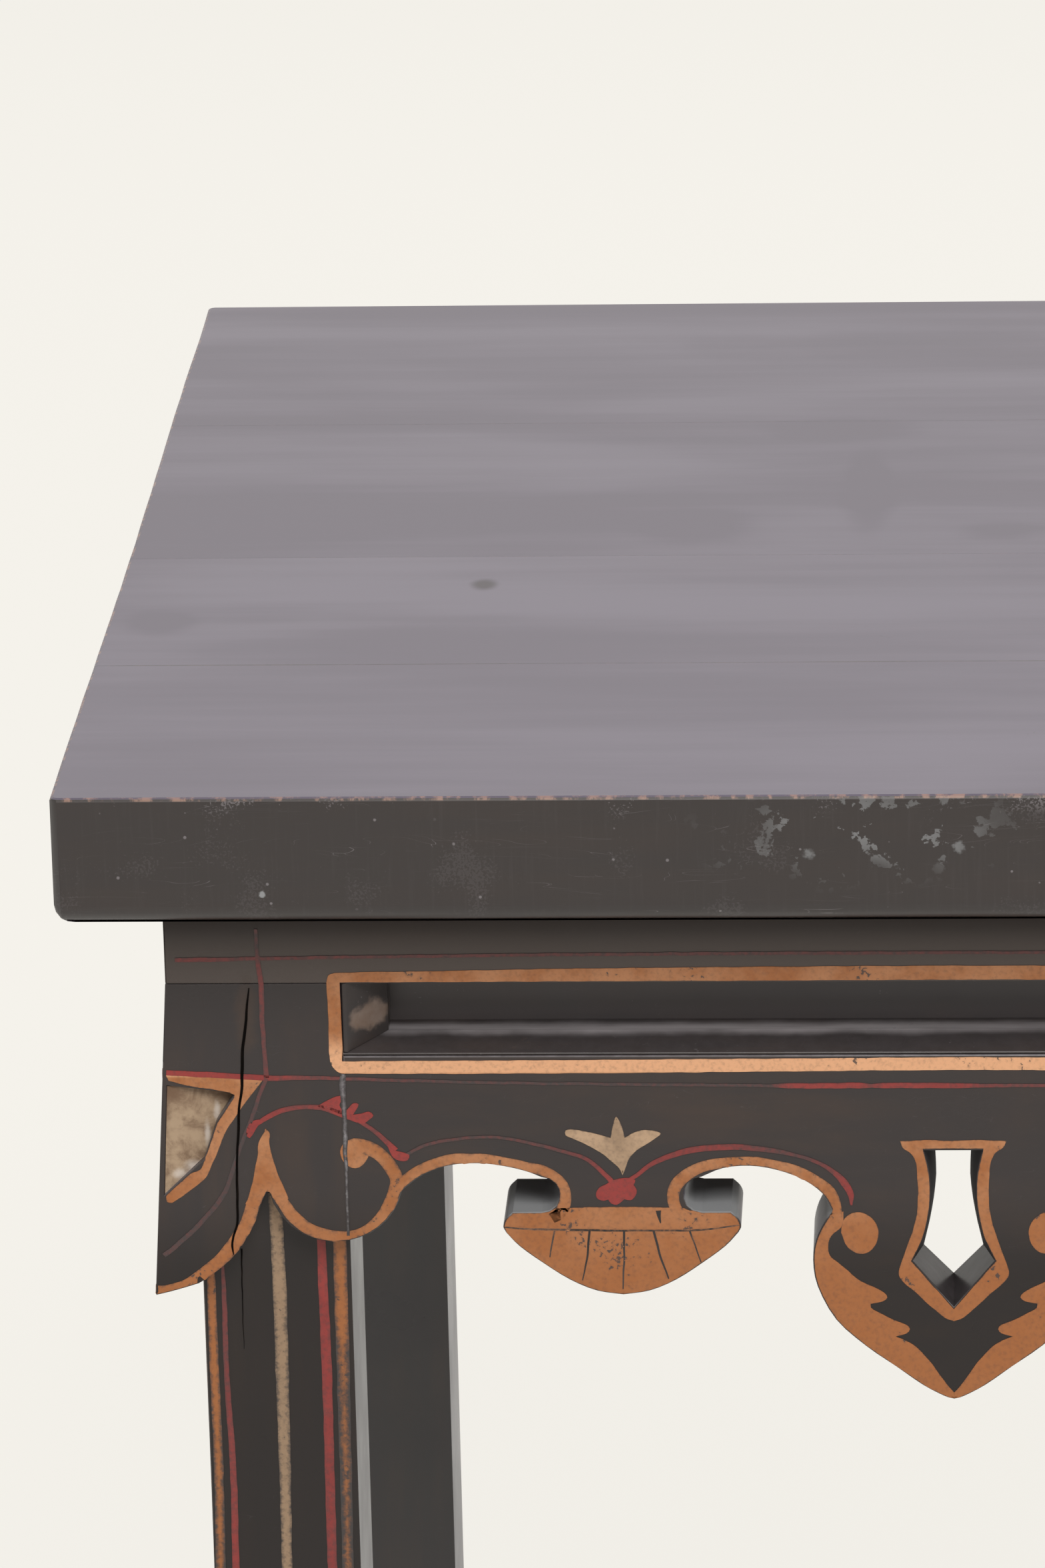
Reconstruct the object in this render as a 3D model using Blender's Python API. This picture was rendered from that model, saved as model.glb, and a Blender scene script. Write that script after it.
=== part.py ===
"""Square side table in black lacquered wood, with a sunken slot and a cusped apron on each side.

Metres, +Z up. The origin is on the floor, under the middle of the table. Each side of the frame
is the same, so its pieces are shaped once, for the front, and turned a quarter for the next side.
A drop is a distance downwards, and a depth is a distance inwards from the frame's outer face.
"""

import math

import bmesh
import bpy
from mathutils import Matrix, Vector

# Whole table
table_height = 0.820
top_side = 0.720
top_thick = 0.054
top_overhang = 0.0395
fit_gap = 0.0003

# Top boards, front to back, with the last one taking what is left
front_board_width = 0.168
second_board_width = 0.148
third_board_width = 0.202
top_arris = 0.0015
under_arris = 0.008
corner_arris = 0.003

# Loose tongues between the boards
spline_width = 0.024
spline_thick = 0.008
spline_drop = 0.018
spline_end_margin = 0.060

# Dovetailed battens under the boards
batten_place_share = 0.42
batten_width = 0.036
batten_height = 0.024
dovetail_neck = 0.020
dovetail_flare = 0.003
dovetail_depth = 0.012

# Frame rails and corner posts
rail_height = 0.040
post_side = 0.0715
relief = 0.010
tenon_side = 0.028
tenon_in_top = 0.022
ear_flare = 0.0082
foot_flare = 0.007
foot_height = 0.060
foot_arris = 0.002

# Slot under the rail
recess_height = 0.032
recess_depth = 0.0285
panel_thick = 0.0072
panel_tongue = 0.008
sill_rise = 0.005
sill_nose = 0.001
sill_setback = 0.0005
sill_slope_share = 0.56
end_strip_width = 0.018
end_strip_nose = 0.002

# Aprons
apron_thick = 0.036
apron_drop = 0.1525
apron_tenon_thick = 0.012
apron_tenon_length = 0.024
apron_tenon_shares = (0.066, 0.460)
pin_radius = 0.0035
pin_wall = 0.0065
pin_drop_shares = (0.18, 0.34)

# Lobe that crosses the joint of post and apron
lobe_half = 0.0279
lobe_offset = 0.0045
lobe_middle_share = 0.344
lobe_deep_share = 0.1915
lobe_end_angle = math.radians(167)

# Cut edge of the ear on the post: where it leaves the lobe, how low its tip is, and the points
# between as shares of the way out to the corner and down to the tip
crotch_share = 0.986
ear_tip_share = 0.670
ear_shares = (
    (0.088, 0.161),
    (0.155, 0.344),
    (0.278, 0.527),
    (0.439, 0.694),
    (0.678, 0.857),
    (0.879, 0.955),
    (1.0, 1.0),
)

# Arch beside the lobe: shares of the way from the lobe to the pendant, and of the apron's drop
outer_arch_shares = (
    (0.151, 0.343),
    (0.337, 0.316),
    (0.544, 0.3095),
    (0.727, 0.3175),
    (0.892, 0.333),
)

# Rest of the apron's cut edge: shares of half its length, and of its drop
pendant_place_share = 0.546
notch_place_share = 0.132
notch_half_share = 0.0300
notch_shares = (0.350, 0.450)
lip_shares = ((0.180, 0.450), (0.192, 0.470), (0.1965, 0.493), (0.192, 0.511))
bowl_shares = ((0.170, 0.5515), (0.132, 0.600), (0.088, 0.649), (0.044, 0.681), (0.0, 0.6925))
inner_arch_shares = (
    (0.378, 0.325),
    (0.334, 0.3185),
    (0.290, 0.3305),
    (0.2465, 0.3587),
    (0.214, 0.401),
    (0.199, 0.448),
)
heart_shares = (
    (0.2145, 0.4885),
    (0.2265, 0.533),
    (0.2317, 0.5915),
    (0.2245, 0.6695),
    (0.1944, 0.767),
    (0.145, 0.845),
    (0.0956, 0.905),
    (0.0518, 0.959),
    (0.016, 0.992),
    (0.0, 1.0),
)
vase_side_shares = ((0.0361, 0.275), (0.0337, 0.340), (0.043, 0.437), (0.0606, 0.534), (0.0667, 0.594))
vase_point_share = 0.7285

# Scoop above the ear's leaf: a rim of wood beside the corner, its depths at the rim and at the
# leaf, where its corner side starts and ends as shares of the apron's drop, and its other points
# as shares of the post's side and of the apron's drop
scoop_rim = 0.0015
scoop_rim_depth = 0.0005
scoop_depth = 0.006
scoop_end_shares = (0.076, 0.385)
scoop_shares = ((0.62, 0.101), (0.734, 0.182), (0.813, 0.288))

# How finely round shapes are cut
corner_segments = 2
arris_segments = 2
under_segments = 4
flare_cut_shares = (0.25, 0.5, 0.75)
curve_steps = 3
arc_steps = 7
pin_sides = 16
cut_overrun = 0.005
weld_distance = 0.00002

# Worked out from the sizes above
frame_half = top_side / 2 - top_overhang
reach = frame_half - post_side
shaft_half = frame_half - relief
under_top = table_height - top_thick
under_rail = under_top - rail_height
apron_top = under_rail - recess_height
quarter_turn = math.pi / 2
side_names = ("front", "right", "back", "left")
leg_names = ("front_left", "front_right", "back_right", "back_left")


def clear_scene():
    """Empties the scene, so that only the table is in it."""
    for obj in list(bpy.data.objects):
        bpy.data.objects.remove(obj, do_unlink=True)


def finish(name, colour, roughness):
    """One material with a plain colour and gloss."""
    made = bpy.data.materials.new(name)
    made.use_nodes = True
    made.diffuse_color = (*colour, 1)
    shader = made.node_tree.nodes["Principled BSDF"]
    shader.inputs["Base Color"].default_value = (*colour, 1)
    shader.inputs["Roughness"].default_value = roughness
    shader.inputs["Metallic"].default_value = 0
    return made


def box(low, high):
    """A block between two corners."""
    low, high = Vector(low), Vector(high)
    bm = bmesh.new()
    sides = Matrix.Diagonal((*(high - low), 1))
    bmesh.ops.create_cube(bm, size=1, matrix=Matrix.Translation((low + high) / 2) @ sides)
    return bm


def prism(outline, low, high, axis="Y"):
    """A closed outline, given in the plane across the axis, carried from low to high along it."""
    spots = {
        "X": lambda a, b, c: (c, a, b),
        "Y": lambda a, b, c: (a, c, b),
        "Z": lambda a, b, c: (a, b, c),
    }[axis]
    bm = bmesh.new()
    face = bm.faces.new([bm.verts.new(spots(a, b, low)) for a, b in outline])
    moved = bmesh.ops.extrude_face_region(bm, geom=[face])["geom"]
    far = [v for v in moved if isinstance(v, bmesh.types.BMVert)]
    bmesh.ops.translate(bm, verts=far, vec=Vector(spots(0, 0, high - low)))
    bmesh.ops.recalc_face_normals(bm, faces=bm.faces)
    return bm


def peg(near, far, radius):
    """A round peg between two points."""
    near, far = Vector(near), Vector(far)
    way = far - near
    turn = way.to_track_quat("Z", "Y").to_matrix().to_4x4()
    bm = bmesh.new()
    bmesh.ops.create_cone(
        bm,
        cap_ends=True,
        segments=pin_sides,
        radius1=radius,
        radius2=radius,
        depth=way.length,
        matrix=Matrix.Translation((near + far) / 2) @ turn,
    )
    return bm


def mesh_of(bm):
    """Turns a bmesh into a mesh with its faces pointing out."""
    bmesh.ops.recalc_face_normals(bm, faces=bm.faces)
    mesh = bpy.data.meshes.new("piece")
    bm.to_mesh(mesh)
    bm.free()
    return mesh


def worked(bm, added=(), cut=()):
    """The mesh of a shape with other shapes joined to it and cut from it."""
    base = bpy.data.objects.new("blank", mesh_of(bm))
    bpy.context.collection.objects.link(base)
    tools = []
    for shapes, operation in ((added, "UNION"), (cut, "DIFFERENCE")):
        for shape in shapes:
            tool = bpy.data.objects.new("tool", mesh_of(shape))
            bpy.context.collection.objects.link(tool)
            tool.hide_render = True
            modifier = base.modifiers.new(operation.title(), "BOOLEAN")
            modifier.operation = operation
            modifier.solver = "EXACT"
            modifier.object = tool
            tools.append(tool)
    bpy.context.view_layer.update()
    graph = bpy.context.evaluated_depsgraph_get()
    mesh = bpy.data.meshes.new_from_object(base.evaluated_get(graph))
    for obj in (*tools, base):
        bpy.data.objects.remove(obj, do_unlink=True)
    return mesh


def place(name, mesh, material, turn=0):
    """Puts a piece in the scene, turned about the table's middle by so many quarters."""
    mesh.materials.clear()
    mesh.materials.append(material)
    obj = bpy.data.objects.new(name, mesh)
    obj.rotation_euler.z = turn * quarter_turn
    bpy.context.collection.objects.link(obj)
    return obj


def smooth(points):
    """A smooth curve through the given points, as a row of points."""
    points = [Vector(p) for p in points]
    ends = [2 * points[0] - points[1], *points, 2 * points[-1] - points[-2]]
    row = []
    for a, b, c, d in zip(ends, ends[1:], ends[2:], ends[3:]):
        for i in range(curve_steps):
            t = i / curve_steps
            bend = (2 * a - 5 * b + 4 * c - d) * t**2 + (3 * b - a - 3 * c + d) * t**3
            row.append(b + ((c - a) * t + bend) / 2)
    return [*row, points[-1]]


def arc(centre, half, deep, start, end):
    """Points on an arc of an ellipse, from one angle to another."""
    angles = (start + (end - start) * i / arc_steps for i in range(arc_steps + 1))
    return [Vector((centre[0] + half * math.cos(a), centre[1] + deep * math.sin(a))) for a in angles]


def lobe_place():
    """Where the lobe's middle is: outwards from the table's middle, and its drop."""
    return reach + lobe_offset, lobe_middle_share * apron_drop


def lobe_angle(out):
    """The angle on the lobe's arc of a point that lies so far out."""
    return math.acos((out - lobe_place()[0]) / lobe_half)


def lobe(start_out, end_angle):
    """The lobe's cut edge, from a place outwards to an angle."""
    return arc(lobe_place(), lobe_half, lobe_deep_share * apron_drop, lobe_angle(start_out), end_angle)


def ear_edge():
    """The post's cut edge as (out, drop), from the corner down to the apron joint."""
    rest = lobe(lobe_place()[0] + crotch_share * lobe_half, lobe_angle(reach))
    start = rest[0]
    run = Vector((frame_half, ear_tip_share * apron_drop)) - start
    ear = [(start.x + a * run.x, start.y + b * run.y) for a, b in reversed(ear_shares)]
    return [*smooth([*ear, start])[:-1], *rest]


def pendant_edge(way):
    """Half of the lotus pendant as (out, drop), from its notch to its lowest point, out or in."""
    middle = pendant_place_share * reach
    deep = (notch_shares[1] - notch_shares[0]) / 2 * apron_drop
    centre = (middle + way * notch_place_share * reach, notch_shares[0] * apron_drop + deep)
    half = -way * notch_half_share * reach
    notch = arc(centre, half, deep, -quarter_turn, quarter_turn)
    lip = [(middle + way * a * reach, b * apron_drop) for a, b in lip_shares]
    bowl = [(middle + way * a * reach, b * apron_drop) for a, b in bowl_shares]
    return [*notch, *smooth(lip)[:-1], *smooth([lip[-1], *bowl])]


def apron_edge():
    """Half of the apron's cut edge as (out, drop), from the post joint to the table's middle."""
    start, first, second = lobe(reach, lobe_end_angle), pendant_edge(1), pendant_edge(-1)[::-1]
    run = first[0].x - start[-1].x
    arch = [(start[-1].x + a * run, b * apron_drop) for a, b in outer_arch_shares]
    inner = [(a * reach, b * apron_drop) for a, b in inner_arch_shares]
    heart = [(a * reach, b * apron_drop) for a, b in heart_shares]
    return [
        *start[:-1],
        *smooth([start[-1], *arch, first[0]])[:-1],
        *first[:-1],
        *second[:-1],
        *smooth([second[-1], *inner])[:-1],
        *smooth([inner[-1], *heart]),
    ]


def vase_edge():
    """The vase-shaped hole as (out, drop)."""
    side = smooth([(a * reach, b * apron_drop) for a, b in vase_side_shares])
    point = Vector((0, vase_point_share * apron_drop))
    return [*side, point, *[Vector((-p.x, p.y)) for p in side[::-1]]]


def boards():
    """Where the four top boards begin and end along Y."""
    edges = [-top_side / 2]
    for width in (front_board_width, second_board_width, third_board_width):
        edges.append(edges[-1] + width)
    edges.append(top_side / 2)
    return edges


def slab():
    """The whole top, with its upper arris eased, its lower arris rounded and its corners softened."""
    half = top_side / 2
    bm = box((-half, -half, under_top), (half, half, table_height))
    steps = (
        ("upright", corner_arris, corner_segments),
        ("lower", under_arris, under_segments),
        ("upper", top_arris, arris_segments),
    )
    for kind, width, segments in steps:
        edges = [e for e in bm.edges if edge_kind(e) == kind]
        bmesh.ops.bevel(bm, geom=edges, offset=width, segments=segments, profile=0.5, affect="EDGES")
    return bm


def edge_kind(edge):
    """Whether an edge of the top is upright, or lies in its upper or its lower face."""
    first, last = (vert.co.z for vert in edge.verts)
    if abs(first - last) > fit_gap:
        return "upright"
    return "upper" if first > table_height - top_thick / 2 else "lower"


def slice_at(bm, spot, way, **keep):
    """Cuts every face of a shape along a plane."""
    everything = [*bm.verts, *bm.edges, *bm.faces]
    bmesh.ops.bisect_plane(bm, geom=everything, dist=weld_distance, plane_co=spot, plane_no=way, **keep)


def cut_board(low, high):
    """One board of the top between two places along Y."""
    bm = slab()
    for place_y, way in ((low, -1), (high, 1)):
        if abs(place_y) < top_side / 2 - fit_gap:
            edge = place_y - way * fit_gap / 2
            slice_at(bm, (0, edge, 0), (0, way, 0), clear_outer=True)
            bmesh.ops.holes_fill(bm, edges=[e for e in bm.edges if e.is_boundary])
    return bm


def spline_box(place_y, gap):
    """A loose tongue between two boards, or with a gap the slot for it."""
    half = top_side / 2 - spline_end_margin + gap
    middle = table_height - spline_drop - spline_thick / 2
    side, rise = spline_width / 2 + gap, spline_thick / 2 + gap
    return box((-half, place_y - side, middle - rise), (half, place_y + side, middle + rise))


def dovetail(place_x, gap):
    """The tongue of a batten, or with a gap the groove for it."""
    neck = dovetail_neck / 2 + gap
    wide = neck + dovetail_flare
    high = under_top + dovetail_depth + gap
    low = under_top - (cut_overrun if gap else fit_gap)
    outline = ((place_x - neck, low), (place_x + neck, low), (place_x + wide, high), (place_x - wide, high))
    return prism(outline, -(reach - fit_gap + gap), reach - fit_gap + gap)


def leg_tenon(gap, way_x=-1, way_y=-1):
    """The tenon on top of a leg, or with a gap the mortise for it."""
    middle = (frame_half + reach) / 2
    half = tenon_side / 2 + gap
    low = under_rail - cut_overrun
    high = under_top + tenon_in_top + gap
    centre = Vector((way_x * middle, way_y * middle, 0))
    return box(centre + Vector((-half, -half, low)), centre + Vector((half, half, high)))


def batten_places():
    """Where the two battens lie along X."""
    return [-batten_place_share * frame_half, batten_place_share * frame_half]


def make_top(lacquer, wood):
    """The boards, their tongues and the battens that hold them flat."""
    edges = boards()
    names = ("front", "second", "third", "back")
    joints = edges[1:-1]
    for name, low, high in zip(names, edges, edges[1:]):
        cuts = [spline_box(y, fit_gap) for y in joints if y in (low, high)]
        cuts += [dovetail(x, fit_gap) for x in batten_places()]
        cuts += [leg_tenon(fit_gap, way_x, way_y) for way_x in (-1, 1) for way_y in (-1, 1)]
        place(f"top_board_{name}", worked(cut_board(low, high), cut=cuts), lacquer)
    for name, y in zip(("front", "middle", "back"), joints):
        place(f"board_tongue_{name}", mesh_of(spline_box(y, 0)), wood)
    for name, x in zip(("left", "right"), batten_places()):
        end = reach - fit_gap
        low = (x - batten_width / 2, -end, under_top - fit_gap - batten_height)
        body = box(low, (x + batten_width / 2, end, under_top - fit_gap))
        place(f"top_batten_{name}", worked(body, added=[dovetail(x, 0)]), wood)


def panel_box(gap):
    """The panel at the back of the front slot, or with a gap the groove for it."""
    end = reach + panel_tongue + gap
    front = -frame_half + recess_depth
    low = (-end, front - gap, apron_top - panel_tongue - gap)
    return box(low, (end, front + panel_thick + gap, under_rail + panel_tongue + gap))


def rail():
    """The front rail: mitred at both ends, grooved for the slot's panel and pierced for the leg tenons."""
    slack = fit_gap / math.sqrt(2)
    outer, inner = frame_half - slack, reach - slack
    outline = ((-outer, -frame_half), (outer, -frame_half), (inner, -reach), (-inner, -reach))
    blank = prism(outline, under_rail, under_top - fit_gap, axis="Z")
    cuts = [panel_box(fit_gap), leg_tenon(fit_gap, -1), leg_tenon(fit_gap, 1)]
    return worked(blank, cut=cuts)


def apron_tenon(way, gap):
    """The tenon at one end of the front apron, or with a gap the mortise for it."""
    middle = -frame_half + apron_thick / 2
    half = apron_tenon_thick / 2 + gap
    high, low = (apron_top - share * apron_drop for share in apron_tenon_shares)
    near, far = reach - cut_overrun, reach + apron_tenon_length + gap
    start, end = sorted((way * near, way * far))
    return box((start, middle - half, low - gap), (end, middle + half, high + gap))


def pin(way, gap=0.0):
    """The pin through one tenon of the front apron, or with a gap the hole for it."""
    out = reach + apron_tenon_length / 2
    share = pin_drop_shares[0] if way < 0 else pin_drop_shares[1]
    level = apron_top - share * apron_drop
    near = -reach + (cut_overrun if gap else 0)
    far = -(frame_half - pin_wall) - gap
    return peg((way * out, near, level), (way * out, far, level), pin_radius + gap)


def turned(bm, quarters):
    """The same shape on another side of the table."""
    turn = Matrix.Rotation(quarters * quarter_turn, 3, "Z")
    bmesh.ops.rotate(bm, verts=bm.verts, cent=(0, 0, 0), matrix=turn)
    return bm


def foot_spread(level):
    """How far the foot stands outside the shaft at a height: most at the floor, with its arris eased."""
    if level < foot_arris / 2:
        return foot_flare - foot_arris
    return foot_flare * (1 + math.cos(math.pi * share_between(level, foot_arris, foot_height))) / 2


def relief_cut():
    """What is carved off the front of the post, below the ear and the lobe, to leave the shaft."""
    edge = [(-out, apron_top - drop) for out, drop in ear_edge()]
    wide, low, inside = -frame_half - cut_overrun, -cut_overrun, -reach + cut_overrun
    outline = [(wide, edge[0][1]), *edge, (inside, edge[-1][1]), (inside, low), (wide, low)]
    return prism(outline, -frame_half - cut_overrun, -shaft_half)


def swapped(bm):
    """The same shape mirrored from the post's front face to its side face."""
    for vert in bm.verts:
        vert.co.xy = vert.co.yx
    bmesh.ops.reverse_faces(bm, faces=bm.faces)
    return bm


def scoop():
    """What is hollowed out of the post's front above the leaf: shallow at the rim, deepest at the leaf."""
    rim = frame_half - scoop_rim
    high, low = (apron_top - share * apron_drop for share in scoop_end_shares)
    points = [(-(reach + a * post_side), apron_top - b * apron_drop) for a, b in scoop_shares]
    bm = prism([(-rim, high), *points, (-rim, low)], -frame_half - cut_overrun, -frame_half)
    slope = (scoop_depth - scoop_rim_depth) / (rim + points[0][0])
    for vert in bm.verts:
        if vert.co.y > -frame_half - cut_overrun / 2:
            vert.co.y += scoop_rim_depth + slope * (rim + vert.co.x)
    return bm


def weld(bm):
    """Joins points that coincide and drops the slivers between them."""
    bmesh.ops.remove_doubles(bm, verts=bm.verts, dist=weld_distance)
    bmesh.ops.dissolve_degenerate(bm, edges=bm.edges, dist=weld_distance)


def slice_leg(bm, tip):
    """Cuts the leg's faces where the flare of its ears and of its foot needs points."""
    for share in flare_cut_shares:
        level, across = under_rail + (tip - under_rail) * share, -(reach + post_side * share)
        slice_at(bm, (0, 0, level), (0, 0, 1))
        slice_at(bm, (across, 0, 0), (1, 0, 0))
        slice_at(bm, (0, across, 0), (0, 1, 0))
    for i in range(arc_steps + 1):
        level = foot_arris + (foot_height - foot_arris) * i / arc_steps
        slice_at(bm, (0, 0, level), (0, 0, 1))


def flare_leg(mesh):
    """Leans the carved faces of the post outwards, most at the tip of the ear, and spreads the foot."""
    bm = bmesh.new()
    bm.from_mesh(mesh)
    weld(bm)
    tip = apron_top - ear_tip_share * apron_drop
    slice_leg(bm, tip)
    weld(bm)
    bmesh.ops.triangulate(bm, faces=bm.faces)
    middle = (reach + shaft_half) / 2
    for vert in bm.verts:
        x, y, z = -vert.co.x, -vert.co.y, vert.co.z
        if tip - fit_gap < z < under_rail:
            flare = ear_flare * (under_rail - z) / (under_rail - tip)
            skin_x, skin_y = (share_between(a, shaft_half, frame_half) for a in (x, y))
            vert.co.x -= flare * skin_x * share_between(y, reach, frame_half)
            vert.co.y -= flare * skin_y * share_between(x, reach, frame_half)
        elif z < foot_height:
            vert.co.x -= foot_spread(z) if x > middle else 0
            vert.co.y -= foot_spread(z) if y > middle else 0
    bmesh.ops.recalc_face_normals(bm, faces=bm.faces)
    bm.to_mesh(mesh)
    bm.free()
    return mesh


def share_between(value, low, high):
    """How far a value is from low to high, held between 0 and 1."""
    return min(max((value - low) / (high - low), 0.0), 1.0)


def leg():
    """The front left leg: tenon, carved post, shaft and foot in one piece of wood."""
    blank = box((-frame_half, -frame_half, 0), (-reach, -reach, under_rail - fit_gap))
    cuts = [relief_cut(), swapped(relief_cut()), scoop(), swapped(scoop())]
    for quarters, way in ((0, -1), (-1, 1)):
        shapes = (panel_box(fit_gap), apron_tenon(way, fit_gap), pin(way, fit_gap))
        cuts += [turned(shape, quarters) for shape in shapes]
    return flare_leg(worked(blank, added=[leg_tenon(0)], cut=cuts))


def apron():
    """The front apron: cusped lower edge, vase hole, tenons, and a rebate behind for the panel."""
    half = [(out, apron_top - drop) for out, drop in apron_edge()]
    outline = [(reach - fit_gap, apron_top), (-(reach - fit_gap), apron_top)]
    outline += [(-min(x, reach - fit_gap), z) for x, z in half]
    outline += [(min(x, reach - fit_gap), z) for x, z in half[-2::-1]]
    blank = prism(outline, -frame_half, -frame_half + apron_thick)
    hole = [(x, apron_top - drop) for x, drop in vase_edge()]
    rebate_front = -frame_half + recess_depth - fit_gap
    rebate_low = (-frame_half, rebate_front, apron_top - panel_tongue - fit_gap)
    rebate = box(rebate_low, (frame_half, -frame_half + apron_thick + cut_overrun, apron_top + cut_overrun))
    cuts = [prism(hole, -frame_half - cut_overrun, -frame_half + apron_thick + cut_overrun), rebate]
    cuts += [pin(way, fit_gap) for way in (-1, 1)]
    return worked(blank, added=[apron_tenon(way, 0) for way in (-1, 1)], cut=cuts)


def sill_level(depth):
    """How high the sill's upper face is at a depth from the frame's face."""
    share = share_between(depth, sill_setback, sill_slope_share * recess_depth)
    return apron_top + fit_gap + sill_nose + (sill_rise - sill_nose) * share


def sill():
    """The strip along the bottom of the slot: it slopes up inwards and then runs level to the panel."""
    low = apron_top + fit_gap
    depths = (sill_setback, sill_slope_share * recess_depth, recess_depth - fit_gap)
    outline = [(-frame_half + depth, sill_level(depth)) for depth in depths]
    outline += [(-frame_half + depths[-1], low), (-frame_half + depths[0], low)]
    return mesh_of(prism(outline, -(reach - fit_gap), reach - fit_gap, axis="X"))


def end_strip(way):
    """The strip across one end of the slot: it slopes inwards and stands on the sill."""
    start, bend, end = sill_setback, sill_slope_share * recess_depth, recess_depth - fit_gap
    out, nose, inside = reach - fit_gap, reach - end_strip_nose, reach - end_strip_width
    plan = ((out, start), (nose, start), (inside, bend), (inside, end), (out, end), (out, bend))
    outline = [(way * x, -frame_half + depth) for x, depth in plan]
    bm = prism(outline, under_rail - fit_gap, apron_top, axis="Z")
    low = [v for v in bm.verts if v.co.z < (under_rail + apron_top) / 2]
    for vert in low:
        vert.co.z = sill_level(vert.co.y + frame_half) + fit_gap
    bent = [v for v in low if math.isclose(v.co.y, -frame_half + bend, abs_tol=fit_gap / 10)]
    bmesh.ops.connect_verts(bm, verts=bent)
    return mesh_of(bm)


def make_sides(lacquer, wood):
    """The pieces that repeat on each side of the table, and its four legs."""
    shapes = (
        ("rail", rail(), lacquer),
        ("apron", apron(), lacquer),
        ("slot_panel", mesh_of(panel_box(0)), lacquer),
        ("slot_sill", sill(), lacquer),
        ("slot_end_left", end_strip(-1), lacquer),
        ("slot_end_right", end_strip(1), lacquer),
        ("apron_pin_left", mesh_of(pin(-1)), wood),
        ("apron_pin_right", mesh_of(pin(1)), wood),
    )
    for turn, side in enumerate(side_names):
        for name, mesh, material in shapes:
            place(f"{side}_{name}", mesh, material, turn)
    leg_mesh = leg()
    for turn, corner in enumerate(leg_names):
        place(f"leg_{corner}", leg_mesh, lacquer, turn)


def main():
    clear_scene()
    lacquer = finish("black_lacquer", (0.036, 0.031, 0.029), 0.38)
    wood = finish("bare_wood", (0.36, 0.24, 0.15), 0.7)
    make_top(lacquer, wood)
    make_sides(lacquer, wood)


main()
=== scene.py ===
import math

import bmesh
import bpy
from mathutils import Matrix, Vector, kdtree, noise
from mathutils.bvhtree import BVHTree


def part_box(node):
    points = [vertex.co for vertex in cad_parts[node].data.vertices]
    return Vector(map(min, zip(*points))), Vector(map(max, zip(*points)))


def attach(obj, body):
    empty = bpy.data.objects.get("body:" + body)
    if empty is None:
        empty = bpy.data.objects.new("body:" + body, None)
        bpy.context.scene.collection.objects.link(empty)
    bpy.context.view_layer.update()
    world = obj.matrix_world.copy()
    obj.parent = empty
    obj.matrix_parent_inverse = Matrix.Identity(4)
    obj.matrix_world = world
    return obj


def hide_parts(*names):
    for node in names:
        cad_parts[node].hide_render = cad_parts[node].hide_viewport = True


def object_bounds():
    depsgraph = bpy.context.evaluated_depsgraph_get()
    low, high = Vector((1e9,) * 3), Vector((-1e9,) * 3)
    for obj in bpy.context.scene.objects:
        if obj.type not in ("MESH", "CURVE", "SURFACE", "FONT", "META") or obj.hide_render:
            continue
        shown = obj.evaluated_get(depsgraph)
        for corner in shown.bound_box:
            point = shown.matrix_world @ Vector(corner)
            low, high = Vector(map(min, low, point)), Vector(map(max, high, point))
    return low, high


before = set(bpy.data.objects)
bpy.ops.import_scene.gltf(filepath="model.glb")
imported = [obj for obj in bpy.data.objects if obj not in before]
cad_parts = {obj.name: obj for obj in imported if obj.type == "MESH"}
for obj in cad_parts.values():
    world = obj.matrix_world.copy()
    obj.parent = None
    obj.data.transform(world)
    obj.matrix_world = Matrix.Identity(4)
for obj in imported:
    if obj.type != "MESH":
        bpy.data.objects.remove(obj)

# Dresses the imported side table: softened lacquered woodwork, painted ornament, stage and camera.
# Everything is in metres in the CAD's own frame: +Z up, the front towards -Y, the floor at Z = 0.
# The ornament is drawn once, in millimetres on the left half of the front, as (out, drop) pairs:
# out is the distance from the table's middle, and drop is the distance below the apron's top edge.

bl_info = {
    "name": "Side Table Finish",
    "version": (1, 0, 0),
    "blender": (4, 5, 0),
    "location": "View3D > Sidebar > Side Table",
    "description": "Lacquer, painted ornament and stage for the packed side table",
    "category": "Object",
}

MM = 0.001
SIDES = ("front", "right", "back", "left")
LEGS = ("leg_front_left", "leg_front_right", "leg_back_right", "leg_back_left")
BOARDS = ("top_board_front", "top_board_second", "top_board_third", "top_board_back")
FRONT_FACE = ("front_apron", "front_rail", "leg_front_left", "leg_front_right")

cad_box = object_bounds()
apron_face = -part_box("front_apron")[0].y
apron_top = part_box("front_apron")[1].z
post_inside = -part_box("front_slot_sill")[0].x
under_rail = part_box("front_rail")[0].z
slot_back = -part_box("front_slot_panel")[0].y
table_half = cad_box[1].x
table_top = cad_box[1].z

# The solids' own measures that the dressing has to know
SHAFT_BACK = 10 * MM  # how far a shaft lies behind the front face
HALF_JOINT = 0.15 * MM  # what the solids leave open at each side of a joint between two boards
FACE_DEPTH = 4 * MM  # faces that lie further back than this don't belong to the front face
SCOOP_DROPS = (8 * MM, 75 * MM)  # where the scoops of the posts begin and end, below the apron's top
SHAFT_START = 84 * MM  # where the shafts begin, below the apron's top

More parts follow.
